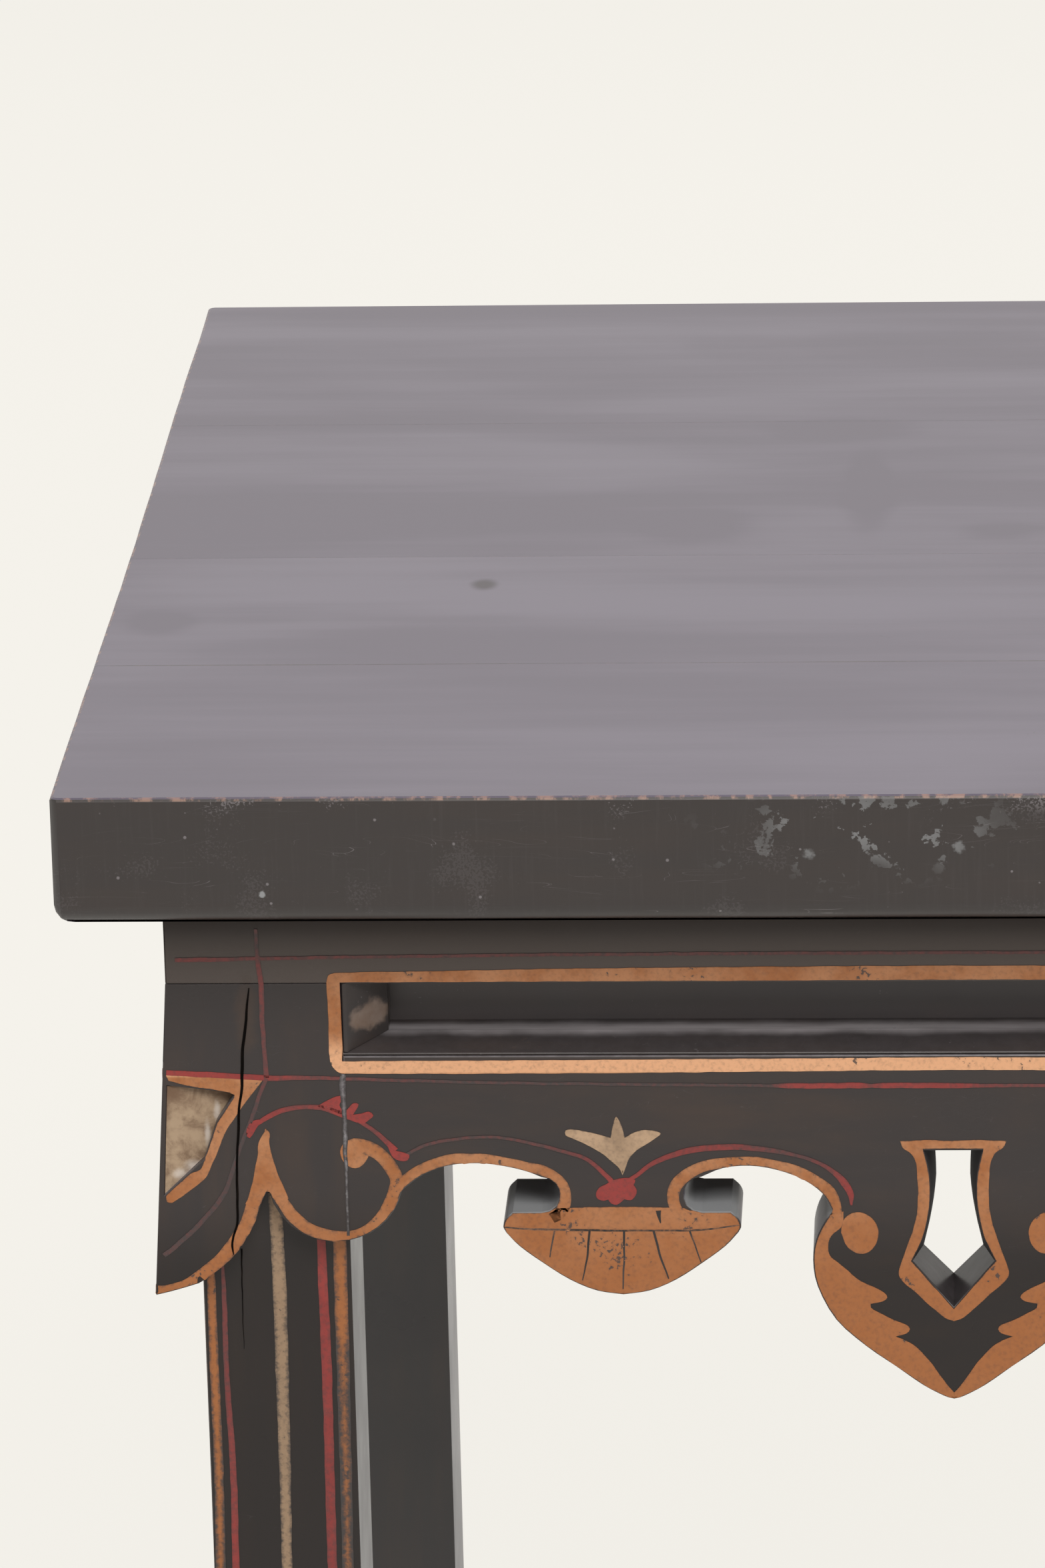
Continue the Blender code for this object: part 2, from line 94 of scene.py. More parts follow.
# How the woodwork is softened
FLAT_ANGLE = math.radians(0.4)  # faces that meet at less than this are one flat face
SHARP_ANGLE = math.radians(38)  # edges at which faces meet at more than this are rounded over
SHORTEST_EASED = 1.2 * MM  # shorter edges stay as they are
CORNER_EASE = 2.5 * MM  # how far the upright corners of the top are rounded over
BOARD_CUTS = 8  # parts that each board's end is cut into, so that it can wander
WAVES, WAVE_STARTS = 11, {"left": 2.1, "right": 0.4}  # long waves along the top's ends, in radians
RIPPLES, RIPPLE_SHARE = 30, 0.25  # shorter, uneven waves on top of them
ENDS_FADE = 50 * MM  # the waves fade out over this distance before the top's corners

# The painter's hand
SWAY_SCALE = 90  # how quickly the width of a stroke varies, per metre
STRAY_SCALE = 170  # how quickly the hand strays, per metre
STRAY_LAYER = 7  # the layer of the noise that the hand follows
SHAFT_STEP = 2.5  # how much longer the steps along a stripe on a shaft are
LAYERS, LAYER_RISE = 7, 0.006 * MM  # each shape lies a little higher than the last one, in turns
WORN_BELOW = 0.7  # colours whose rim carries less paint than this get a worn rim round their shapes
RIM_STEP = 0.4 * MM  # distance between two points that are looked up along a cut edge


# Sizes and colours that a user would change


def length(name, default, description):
    """A size in metres."""
    return bpy.props.FloatProperty(
        name=name, default=default, description=description, min=0, precision=5, unit="LENGTH"
    )


def turn(name, default, description):
    """An angle in radians."""
    return bpy.props.FloatProperty(
        name=name, default=default, description=description, precision=5, unit="ROTATION"
    )


def place(name, default, description):
    """A point in metres."""
    return bpy.props.FloatVectorProperty(
        name=name, default=default, description=description, size=3, subtype="TRANSLATION", unit="LENGTH"
    )


def colour(name, default, description):
    """A linear colour."""
    return bpy.props.FloatVectorProperty(
        name=name, default=(*default, 1.0), description=description, size=4, min=0, max=1, subtype="COLOR"
    )


def level(name, default, description):
    """A plain number."""
    return bpy.props.FloatProperty(name=name, default=default, description=description, min=0)


class WoodworkSizes(bpy.types.PropertyGroup):
    """How the lacquered woodwork is softened and worn."""

    edge_ease: length("Eased edges", 0.0005, "How far the cut edges are rounded over")
    side_wave: length("Wavy ends", 0.0014, "How far the top's ends wander inwards")
    board_gap: length("Board gap", 0.00010, "What is left open between the boards of the top")


class PaintSizes(bpy.types.PropertyGroup):
    """How thick and how even the painted ornament is."""

    thickness: length("Thickness", 0.00023, "How far the gold paint stands proud")
    layer: length("Layer", 0.00004, "How much higher each later colour lies")
    margin: length("Margin", 0.00055, "Bare wood left between the paint and a cut edge")
    step: length("Step", 0.0013, "Distance between two points along a brush stroke")
    wobble: length("Wobble", 0.00022, "How far the hand strays from a drawn outline")
    worn_rim: length("Worn rim", 0.0008, "How far in from its outline a painted shape is worn")
    sway: level("Sway", 0.10, "Share by which the width of a stroke varies")
    seed: bpy.props.IntProperty(name="Seed", description="Which way the hand strays", default=9, min=1)


class FinishColours(bpy.types.PropertyGroup):
    """The colours of the table."""

    lacquer: colour("Lacquer", (0.0420, 0.0355, 0.0350), "Black lacquer")
    rail_worn: colour("Worn rail", (0.090, 0.072, 0.064), "Lacquer rubbed thin along the rails")
    lacquer_worn: colour("Worn lacquer", (0.068, 0.046, 0.036), "Brown where the lacquer is rubbed thin")
    # Dust, also painted on what faces up as painted light and sheen
    dust_and_sheen: colour("Dust", (0.215, 0.195, 0.205), "Grey dust and old polish on what faces up")
    slot_worn: colour("Worn slot end", (0.310, 0.250, 0.220), "Bare ground at the end of the front slot")
    # Painted highlight on the ledges and painted light on the back panels of the slots
    bloom_and_highlight: colour("Bloom", (0.400, 0.370, 0.380), "Pale bloom along the ledge in the slots")
    # Pale flecks; the same colour is also painted on as light on the shoulders and the back legs
    fleck_and_light: colour("Flecks", (0.36, 0.37, 0.38), "Pale flecks on the edge of the top")
    # The haze colours stand partly for hazy lacquer and partly for a painted reflection
    haze_and_sheen_low: colour("Deep haze", (0.110, 0.092, 0.132), "Where the haze on the top is rubbed away")
    haze_and_sheen: colour("Haze", (0.140, 0.118, 0.172), "Rubbed, hazy lacquer on the top")
    arris: colour("Rubbed arris", (0.52, 0.30, 0.22), "Bare, pinkish wood along the top's upper edge")
    gold: colour("Gold", (0.470, 0.205, 0.088), "Ochre gold paint")
    gold_deep: colour("Deep gold", (0.355, 0.120, 0.031), "Darker, redder gold paint")
    # Thick gold with a painted highlight under the slots
    gold_bright_and_lit: colour("Bright gold", (0.760, 0.400, 0.215), "Thick gold paint under the slots")
    red: colour("Red", (0.250, 0.026, 0.023), "Thin red lines")
    red_bud: colour("Bud red", (0.320, 0.036, 0.030), "Red of the buds")
    cream: colour("Cream", (0.500, 0.335, 0.210), "Cream lotus and stripes")
    cream_deep: colour("Deep cream", (0.320, 0.212, 0.130), "Darker cream lower down")
    # Painted shade on the sides of the top
    side_shade: colour("Edge of the top", (0.012, 0.006, 0.005), "Dark lacquer on the sides of the top")
    # Ink is also painted on as shade: under the top, in the vase holes and low on the front legs
    ink_and_shade: colour("Ink", (0.010, 0.007, 0.006), "Black lines drawn over the gold")
    # The crack is a dark stroke, not a cut: its colour is painted shadow
    crack: colour("Crack", (0.003, 0.0022, 0.002), "Inside of the crack in a leg")
    crack_lit: colour("Lit crack", (0.012, 0.008, 0.006), "Fibres in the crack that catch some light")
    gesso: colour("Gesso", (0.400, 0.285, 0.185), "Bare ground in the scoops above the leaves")
    gesso_stain: colour("Gesso stain", (0.150, 0.085, 0.048), "Brown stains on the bare ground")
    # Pale chalk, also painted as highlight in the scoops
    chalk_and_highlight: colour("Chalk", (0.640, 0.560, 0.490), "Pale chalk along the lower edge of a scoop")
    filler: colour("Filler", (0.300, 0.292, 0.305), "Chalky filler in the joint")
    wood: colour("Bare wood", (0.255, 0.150, 0.080), "Unpainted softwood of the joinery")
    wood_dark: colour("Late wood", (0.130, 0.066, 0.032), "Dark lines of the grain")


class StageSizes(bpy.types.PropertyGroup):
    """The camera, the lamps and the floor."""

    camera_place: place("Camera place", (0.0, -3.2647, 1.8432), "Where the camera stands")
    camera_yaw: turn("Camera yaw", 0.058556, "Turn of the camera to the left")
    camera_pitch: turn("Camera pitch", 0.336466, "Tilt of the camera downwards")
    camera_roll: turn("Camera roll", -0.024027, "Roll of the camera about its own axis")
    camera_lens: level("Camera lens", 178.06, "Focal length in millimetres on a 36 mm sensor")
    floor_radius: length("Floor radius", 14.0, "Radius of the floor")
    backdrop: colour("Backdrop", (0.904, 0.880, 0.823), "Colour of the backdrop")
    floor: colour("Floor", (0.975, 0.950, 0.888), "Colour of the floor")
    world_level: level("World level", 0.32, "Brightness of the light from all round")
    key_power: level("Key power", 112.0, "Power of the soft lamp in front, in watts")
    sheen_power: level("Sheen power", 11.0, "Power of the large lamp behind, in watts")


class TableFinish(bpy.types.PropertyGroup):
    """All settings of the finish."""

    woodwork: bpy.props.PointerProperty(name="Woodwork", type=WoodworkSizes)
    paint: bpy.props.PointerProperty(name="Paint", type=PaintSizes)
    colours: bpy.props.PointerProperty(name="Colours", type=FinishColours)
    stage: bpy.props.PointerProperty(name="Stage", type=StageSizes)


def settings():
    """The finish's settings in this scene."""
    return bpy.context.scene.table_finish


def linked(name, data):
    """A new object in the scene."""
    made = bpy.data.objects.new(name, data)
    bpy.context.scene.collection.objects.link(made)
    return made


def cleared(owner):
    """The shader tree of a material or world, with nothing left in it."""
    owner.use_nodes = True
    owner.node_tree.nodes.clear()
    return owner.node_tree

# The ornament on the left half of the front, in millimetres, as (out, drop) pairs

# Gold bands along the cut edges, walked so that the wood lies to the left: ear, lobe, outer and inner arch.
BAND_LINES = (
    # line, widths along it
    (((327.5, 103), (323.4, 102.8), (315.7, 100), (307.8, 95.8), (298.4, 88.4), (292, 81), (287.1, 72.7),
      (284.5, 64.5), (281.3, 57.9), (280.9, 45), (281, 31)),
     (4.8, 4.8, 4.8, 5.2, 5.8, 6.2, 6.2, 5.8, 5, 3.4, 0.5)),
    (((281.2, 57.9), (278.3, 62.8), (273.3, 71.1), (265.8, 77.7), (256.8, 81), (247.6, 81.8), (239.9, 79.4),
      (232, 72), (227.5, 62.9), (225.6, 55.5), (226.6, 50), (229.6, 44.6), (234.6, 39.4), (240.2, 36.6),
      (245.4, 35.9), (247.6, 36.8)),
     (4.4, 4.6, 5, 5, 4.8, 4.8, 5.2, 5.6, 5.2, 5.4, 5.6, 5.8, 6, 6.4, 6.4, 5)),
    (((227.5, 61), (224.6, 56.8), (217.7, 52.3), (207, 47.9), (193.9, 47.4), (184.6, 48.6), (174.8, 51),
      (168.8, 52.4), (163.2, 57), (161.6, 61.9), (163.3, 67.5), (166, 69.4)),
     (2.6, 4.2, 4.8, 4.6, 4.4, 4.4, 4.4, 4.6, 5, 5, 4.8, 4.4)),
    (((107, 69.4), (110.6, 67.5), (112.3, 62.5), (110.4, 57), (102.3, 51.1), (94.1, 49.4), (83.2, 48.8),
      (72.3, 50.6), (61.4, 54.7), (54, 60.6), (51.6, 66), (50.8, 71.6)),
     (4.4, 4.8, 5, 5, 4.6, 4.4, 4.4, 4.6, 5, 5.4, 5.6, 5.4)),
)

# Filled shapes: each is a row of smooth runs that meet at corners.
LOTUS_BOWL = (
    ((163, 66.9), (165.6, 68.2)),
    ((165.6, 68.2), (173.8, 68.2), (180.7, 68.2), (184.2, 71.6), (185.2, 75.2), (184, 77.8), (178.3, 84.4),
     (168.8, 91.8), (158, 99.3), (147.1, 104.2), (136.1, 106), (125.1, 104.5), (111.2, 97.4), (97.4, 87.6),
     (89, 80.1), (86, 75.3), (86, 70.9), (88.9, 68.2), (99.8, 68.2), (108.1, 68.2)),
    ((108.1, 68.2), (110.4, 66.9)), ((110.4, 66.9), (136, 66.5), (163, 66.9)),
)
HEART_BALL = (
    ((46.1, 77.8), (45.2, 72.6), (41.8, 69.6), (37, 69.2), (32.7, 72.3), (30.7, 77.6), (31.6, 82.6),
     (35, 86.6), (39.2, 87.3), (43.6, 84), (46.1, 77.8)),
)
HEART_LEAF = (
    ((45, 68.6), (45.8, 75.1), (50.2, 79.6), (51.5, 83.6), (50.5, 88.4), (47.4, 91.4), (43.2, 95.1),
     (38.2, 99.6), (31.5, 102.8), (28.2, 105.1), (27.4, 106.9), (29.2, 108.6), (34.2, 109.6)),
    ((34.2, 109.6), (34, 111.4), (31, 113.5), (25.4, 116.6), (19.3, 119.2), (18.2, 121), (19.4, 122.7),
     (24, 124.2)),
    ((24, 124.2), (19.9, 126.1), (15.7, 128.8), (11.6, 133.4), (7.8, 138.5), (4.5, 143.7), (0, 149.4)),
    ((0, 149.4), (0, 153)),
    ((0, 153), (12.9, 146.6), (23.8, 138.3), (36.1, 129.3), (48.6, 117.4), (56.3, 102.3), (58.6, 90.2),
     (57, 80), (51.4, 70.6)), ((51.4, 70.6), (45, 68.6)),
)
SCOOP_LEAF = (
    ((321.4, 6.9), (306.3, 7.9), (291.6, 8.8), (281.4, 8.9)),
    ((281.4, 8.9), (287.1, 16.4), (292.2, 23.5), (296.9, 30.2), (300, 37.1), (303.3, 44.7), (306.7, 51.6),
     (314.8, 58.1), (320.6, 62)),
    ((320.6, 62), (322.6, 61.6), (322.8, 58.4), (320, 56)),
    ((320, 56), (313.6, 50.2), (308.6, 47.8), (306.6, 43.6)),
    ((306.6, 43.6), (305.4, 37), (302.1, 27.6), (298.4, 21), (293.6, 15.6)),
    ((293.6, 15.6), (302.5, 13.2), (312.4, 11.6), (320.4, 9.2)), ((320.4, 9.2), (321.4, 6.9)),
)
CROTCH_TIP = (
    ((290.6, 63.4), (289.4, 60.6), (287.6, 54.5), (286.1, 47.9), (285, 42.2), (284.5, 37.5), (282.8, 33.8),
     (280.7, 31.4), (279.6, 33.3), (280, 36.6), (279.5, 40.8), (278.5, 45.1), (277.2, 49.8), (275, 55.9),
     (273.4, 60.2), (272.9, 61.6)), ((272.9, 61.6), (276.2, 66)), ((276.2, 66), (279.2, 61), (281.2, 57.5)),
    ((281.2, 57.5), (283.6, 62), (285.4, 66.5)), ((285.4, 66.5), (290.6, 63.4)),
)
CURL_EYE = (
    ((238.4, 41.6), (239.4, 38), (242.6, 36.2), (246.6, 36.3), (249.6, 38), (251, 41.4), (250.2, 45.6),
     (247.4, 48.6), (244, 48.9), (241, 46.4), (238.4, 41.6)),
)
VASE_BAND = (
    ((0, 37.5), (12, 37.2), (21.6, 37.8)),
    ((21.6, 37.8), (20.4, 40.6), (17.2, 43), (15.3, 47), (14.7, 53.4), (14.5, 61), (14.9, 69), (16.2, 75.2),
     (18.2, 81.6), (20.2, 87.6), (22, 92.8), (22.6, 96.6), (20.6, 100), (14.6, 105.6), (9.2, 111),
     (3.6, 116), (0, 117.4)),
)
VASE_HOLE = (
    ((0, 40.8), (12.4, 41)),
    ((12.4, 41), (11, 47), (9.9, 53), (9.6, 60), (10, 67), (11.3, 75), (13.2, 82), (17.5, 90.6)),
    ((17.5, 90.6), (0, 112.1)),
)
VASE_SIDES = (
    # drop, half the hole's width there as dressed: at the front, at the back, and how much lower the back is
    (41.5, 12, 8.4, 0), (47, 10.5, 7.9, 0), (53, 9.4, 7.5, 0), (60, 9.1, 7.1, 0), (67, 9.5, 7, 0),
    (75, 10.8, 7.7, 0), (82, 12.8, 9, 1), (87, 15.4, 10.6, 4.5), (90.8, 16.9, 12.4, 7.9),
)
VASE_REACH, VASE_SLACK = 20 * MM, 0.5  # how far out the hole's points can be, and how far off a drop
SLOT_FRAME = (
    ((0, -38.9), (35, -38.8), (143, -38.3), (213.5, -37.2), (238, -36.9), (251, -36.6)),
    ((251, -36.6), (253.6, -35.6), (254.5, -32.5)), ((254.5, -32.5), (254.2, -17), (254.4, -1.9)),
    ((254.4, -1.9), (253.4, 3.6), (250.6, 6.9), (246, 7.3)),
    ((246, 7.3), (214.6, 7.5), (143.8, 7.4), (35, 6.6), (0, 6.4)),
)
SLOT_OPENING = (
    ((0, -32.9), (143, -32.7), (249.2, -32.5)), ((249.2, -32.5), (249, -15), (249.1, 2)),
    ((249.1, 2), (143.7, 1.7), (0, 0.9)),
)
LOTUS_FLOWER = (
    ((139.8, 35.6), (138.7, 29.3), (137.5, 26.6), (135.9, 29.3), (134.2, 35.9)),
    ((134.2, 35.9), (130.6, 33.8), (126.4, 32.6), (122.2, 32.9), (119.4, 34.1), (122.3, 36.6),
     (126.5, 39.4), (130.1, 42), (132.5, 45), (134, 49.2), (135.2, 52.5)),
    ((135.2, 52.5), (136.8, 49.2), (140, 46.2), (143.1, 43.1), (146.2, 41), (151.4, 38), (155.9, 35.9),
     (158.4, 34.7), (158.3, 32.6), (155.1, 32), (151.3, 32.9), (146, 34.1), (139.8, 35.9)),
    ((139.8, 35.9), (139.8, 35.6)),
)
LOTUS_BUD = (
    ((136.6, 54), (140.1, 54.9), (142.3, 56.4), (144.8, 57.6), (146.3, 60.1), (146, 62.5), (143.5, 63.7),
     (141.6, 63.1)),
    ((141.6, 63.1), (140.3, 64.9), (138, 65.5), (136, 64), (134.8, 62.8)),
    ((134.8, 62.8), (132.3, 63.4), (130.3, 61.6), (129.7, 59.2), (131, 56.8)),
    ((131, 56.8), (130.2, 54.7), (133.1, 53.7), (136.6, 54)),
)
SPRIG_SHAPES = (
    ((288, 34.8), (289.3, 33.6), (288.6, 29.9), (286.5, 27.3), (282.8, 26.9), (284.9, 30.3), (286.7, 33.4),
     (288, 34.8)),
    ((260, 21.4), (255.8, 19), (250.4, 17), (249.4, 18.3), (250.8, 21.2), (248.4, 25.4), (253.5, 23.8),
     (260, 21.4)),
    ((249.2, 24.4), (247.4, 22.9), (245.2, 20.5), (243, 20.8), (244.5, 24.3), (246.2, 26.4), (249.2, 24.4)),
    ((247.4, 26), (242.1, 25), (238.8, 24), (237, 25.6), (238.9, 27.6), (241.4, 29.2), (245.2, 28),
     (247.4, 26)),
    ((231.6, 38.4), (229.4, 40.8), (225.6, 42), (222.8, 43.3), (223.6, 45.6), (226.4, 45.8), (229.4, 44.2),
     (230.8, 41.2), (231.6, 38.4)),
)

# Brushed lines: points, widths along the line, and how much paint the brush carried there.
RED_LINES = (
    (((282.6, -55.8), (282.4, -46), (282, -40), (281.3, -30.9), (281.3, -17.2), (280.7, -1.9),
      (280.3, 8.6)), (1.4, 1.5, 2, 2.2, 2, 1.8, 2.1), (0.3, 0.34, 0.48, 0.5, 0.42, 0.38, 0.46)),
    (((280.3, 8.7), (282.8, 14.5), (286.4, 25.1), (291.8, 38.3), (295.5, 48.9), (298.2, 56.8),
      (304.3, 65.7), (314.6, 76.4), (324.6, 84.9)), (1.6, 1.7, 1.7, 1.6, 1.8, 2, 2, 2, 2),
     (0.42, 0.36, 0.28, 0.2, 0.22, 0.24, 0.26, 0.27, 0.28)),
    (((284.6, 28.4), (278.2, 24.6), (271.5, 22.3), (264.9, 21.8), (258.4, 22), (253.5, 23.6), (248.6, 25.6),
      (243.4, 28.2)), (1.8, 2.2, 2.1, 1.9, 2.2, 2.4, 2.6, 1.8), (1, 0.8, 0.62, 0.56, 0.62, 0.8, 0.95, 0.8)),
    (((244.4, 27.4), (237.4, 32.2), (232.6, 36.6), (228.4, 41.2)), (1.6, 1.8, 2, 2.6), (0.7, 0.52, 0.6, 1)),
    (((224, 43), (217, 39.3), (208.8, 37.1), (199.1, 35.8), (190.3, 35.4), (179.6, 36.6), (162.9, 40.8),
      (150, 45.4), (141.6, 53.1), (139.3, 56)), (1.3, 1.4, 1.4, 1.3, 1.3, 1.3, 1.5, 1.6, 2, 2.2),
     (0.3, 0.34, 0.34, 0.33, 0.32, 0.32, 0.38, 0.46, 0.75, 0.9)),
    (((133.6, 55.4), (130.6, 53.1), (121.6, 46.6), (108, 41.6), (91.2, 40), (84.4, 40.3), (71.9, 41.9),
      (63.6, 43.9), (54.5, 47.3), (48.7, 51.2), (44.5, 56.1), (42, 61), (41.7, 65.8)),
     (1.9, 1.8, 1.9, 2.6, 2.5, 2.4, 2, 1.4, 1.5, 2, 3, 2.6, 0.8),
     (0.9, 0.8, 0.66, 0.7, 0.66, 0.5, 0.36, 0.34, 0.42, 0.56, 0.76, 0.84, 0.7)),
)
RED_WHOLE_LINES = (
    (((316, -42.4), (303, -42.5), (289, -42.8), (250, -43.4), (120, -44.4), (-120, -44.4), (-250, -43.4),
      (-289, -42.8), (-316, -42.4)), (1.8, 1.9, 1.6, 1.4, 1.4, 1.4, 1.4, 1.6, 1.8),
     (0.56, 0.52, 0.44, 0.4, 0.38, 0.38, 0.4, 0.44, 0.56)),
    (((321.2, 5.8), (306.3, 6.9), (291.6, 7.9), (280.9, 8.7), (264.5, 9), (250.2, 9.4), (228.5, 10.3),
      (198.4, 11.2), (162, 12), (74, 13.1), (67, 13.2), (38, 13.2), (33, 13.2), (28, 13.2), (-4, 13.3),
      (-12, 13.3), (-60, 13.2), (-162, 12), (-250, 9.4), (-281, 8.7), (-321.2, 5.8)),
     (2.2, 2.3, 2.3, 2.4, 1.8, 1.5, 1.4, 1.3, 1.3, 1.3, 2.2, 2.4, 1.6, 2.3, 2.2, 1.5, 1.3, 1.3, 1.5, 2.3,
      2.2),
     (1, 1, 0.9, 0.8, 0.5, 0.42, 0.32, 0.27, 0.25, 0.27, 0.76, 0.84, 0.46, 0.8, 0.72, 0.5, 0.4, 0.36, 0.42,
      0.8, 1)),
)
SHAFT_LINES = (
    # the colour comes first; below the last point a stripe runs straight down
    ("gold", ((307.2, 98.6), (307.4, 104), (307.5, 143), (307.2, 190), (308, 233.5), (308, 280)),
     (2.6, 3.6, 3.8, 3.9, 4.2, 4.2), (0.8, 0.8, 0.76, 0.66, 0.6, 0.58, 0.6, 0.56, 0.6)),
    ("gold", ((253.4, 82.6), (253.6, 118), (253.6, 132), (253.8, 160), (254.2, 211), (254.6, 280)),
     (5.6, 5.6, 5.6, 5.3, 4.9, 4.6), (0.8, 0.78, 0.6, 0.52, 0.48, 0.5, 0.54, 0.5, 0.56)),
    ("red", ((302.4, 95.6), (302.2, 108), (302.4, 143), (301.2, 190), (301.6, 233.5), (301.6, 280)),
     (1.2, 2, 2.2, 2.7, 3, 3), (0.44, 0.48, 0.5, 0.66, 0.8, 0.8, 0.76, 0.8, 0.8)),
    ("red", ((261.2, 80.8), (260.9, 108), (260.5, 143), (260.8, 190), (260.9, 233.5), (261, 280)),
     (3.6, 3.8, 4.3, 4, 3.9, 3.9), (0.8, 0.8, 0.78, 0.72, 0.66, 0.7, 0.74, 0.7, 0.74)),
    ("cream", ((279.6, 64), (279, 108), (279.2, 143), (279.5, 190), (280, 233.5), (280, 280)),
     (5.4, 5.7, 5.5, 4.8, 4.4, 4.4), (0.7, 0.84, 0.84, 0.8, 0.78, 0.78, 0.8, 0.78, 0.8)),
)
SHAFT_DROPS = (370, 530, 691)
BOWL_LINES = (
    # one load for the whole line
    (((186, 75.2), (172.2, 76.2), (135.2, 76.9), (104.7, 76.6), (87.1, 74.5)), (0.6, 1, 1, 0.9, 0.6), 0.62),
    (((163.8, 77), (166.1, 88.6)), (0.8, 0.5), 0.7),
    (((149.4, 77), (150.6, 88.6), (152.7, 99)), (0.9, 0.8, 0.5), 0.75),
    (((135.2, 77), (135.4, 90), (136.1, 103)), (0.9, 0.8, 0.5), 0.8),
    (((123, 77), (120.4, 88.6), (117.2, 98.4)), (1, 0.9, 0.6), 0.85),
    (((108.2, 77), (103.7, 91)), (0.8, 0.5), 0.7),
    (((120.9, 68.1), (120.7, 70.6), (120.1, 73.6)), (2.2, 1.4, 0.5), 1),
)
CRACK_LINES = (
    # a full load; the second line is on the shaft
    (((286.2, -30.2), (287.1, -23.3), (288.6, -11.1), (289.6, -3.5), (290.2, 7.2), (290.8, 15.4),
      (291.9, 21.5), (292.7, 34.7), (293.6, 47.1), (293.8, 59.5), (294.2, 72), (295.8, 77.3), (296.6, 81.5),
      (295.8, 86.4)), (0.4, 0.9, 1.2, 1.2, 1.3, 1.1, 1, 1, 0.9, 0.95, 0.9, 0.9, 0.9, 0.3)),
    (((294.2, 89), (294.4, 96), (294.7, 112), (294.8, 134)), (0.7, 0.5, 0.35, 0.1)),
)
FILLER_LINE = (
    ((248.9, 7.6), (249.3, 12), (249.1, 19), (248.8, 27.8), (248.8, 34.8), (249.1, 41.9), (248.9, 47.6),
     (248.9, 58), (248.9, 69), (248.9, 79)), (2.4, 2.8, 2.2, 1.8, 2, 1.8, 1.5, 1.3, 1.3, 1.2),
    (0.55, 0.62, 0.55, 0.55, 0.58, 0.52, 0.48, 0.44, 0.42, 0.38),
)

# Soft dark smudges on the top: centre and reach in millimetres from the middle, and how dark they are.
TOP_SMUDGES = (
    ((-30, 287), (150, 34), 0.6), ((-48, 144), (44, 26), 0.8), ((-36, 50), (15, 90), 0.8),
    ((-112, -2), (36, 36), 0.7), ((24, -12), (30, 18), 0.8), ((-302, 14), (160, 46), 0.7),
    ((-336, -135), (20, 24), 0.7),
)


# The face that the ornament is painted on


def merged_copy(name):
    """A CAD piece's mesh as a bmesh, with its loose triangles joined up."""
    bm = bmesh.new()
    bm.from_mesh(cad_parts[name].data)
    bmesh.ops.remove_doubles(bm, verts=bm.verts, dist=1e-6)
    return bm


def dressed_apron(quarters):
    """An apron's mesh with its vase-shaped hole waisted in front and narrower at the back."""
    bm = merged_copy(f"{SIDES[quarters]}_apron")
    turned = Matrix.Rotation(quarters * math.pi / 2, 4, "Z")
    for vert in bm.verts:
        seen = turned.inverted() @ vert.co
        drop = (apron_top - seen.z) / MM
        if MM < abs(seen.x) < VASE_REACH and VASE_SIDES[0][0] - 1 < drop < VASE_SIDES[-1][0] + VASE_SLACK:
            for (a, *start), (b, *end) in zip(VASE_SIDES, VASE_SIDES[1:]):
                if drop <= b + VASE_SLACK:
                    break
            share = min(max((drop - a) / (b - a), 0), 1)
            front, back, sunk = (p + (q - p) * share for p, q in zip(start, end))
            if seen.y < -apron_face + MM:
                seen.x = math.copysign(front * MM, seen.x)
            else:
                seen.x = math.copysign(back * MM, seen.x)
                seen.z -= sunk * MM
            vert.co = turned @ seen
    return bm


def front_copy(name):
    """A piece of the front as it is dressed."""
    return dressed_apron(0) if name == "front_apron" else merged_copy(name)


def is_joint(edge):
    """Whether an edge of the front face is a joint that the paint runs across."""
    a, b = (vert.co for vert in edge.verts)
    upright = abs(a.x - b.x) < 0.3 * MM and abs(abs(a.x) - post_inside) < MM
    flat = abs(a.z - b.z) < 0.3 * MM and abs(a.z - under_rail) < MM
    return upright or flat and min(abs(a.x), abs(b.x)) > post_inside - MM


def front_rim():
    """Points close together along the cut edges of the front face, to look the nearest one up."""
    points = []
    for name in FRONT_FACE:
        bm = front_copy(name)
        deep = -apron_face + FACE_DEPTH
        hidden = [f for f in bm.faces if f.normal.y > -0.8 or f.calc_center_median().y > deep or is_scoop(f)]
        bmesh.ops.delete(bm, geom=hidden, context="FACES")
        for edge in bm.edges:
            if edge.is_boundary and not is_joint(edge):
                a, b = (vert.co for vert in edge.verts)
                steps = max(1, round((b - a).length / RIM_STEP))
                points += [a.lerp(b, i / steps) for i in range(steps + 1)]
        bm.free()
    tree = kdtree.KDTree(len(points))
    for i, point in enumerate(points):
        tree.insert((point.x, 0, point.z), i)
    tree.balance()
    return tree


def front_wood():
    """The front's woodwork without the scoops, to drop paint onto."""
    verts, faces = [], []
    for name in (*FRONT_FACE, "front_slot_sill"):
        bm = front_copy(name)
        bm.verts.index_update()
        faces += [[len(verts) + vert.index for vert in face.verts] for face in bm.faces if not is_scoop(face)]
        verts += [vert.co.copy() for vert in bm.verts]
        bm.free()
    return BVHTree.FromPolygons(verts, faces)


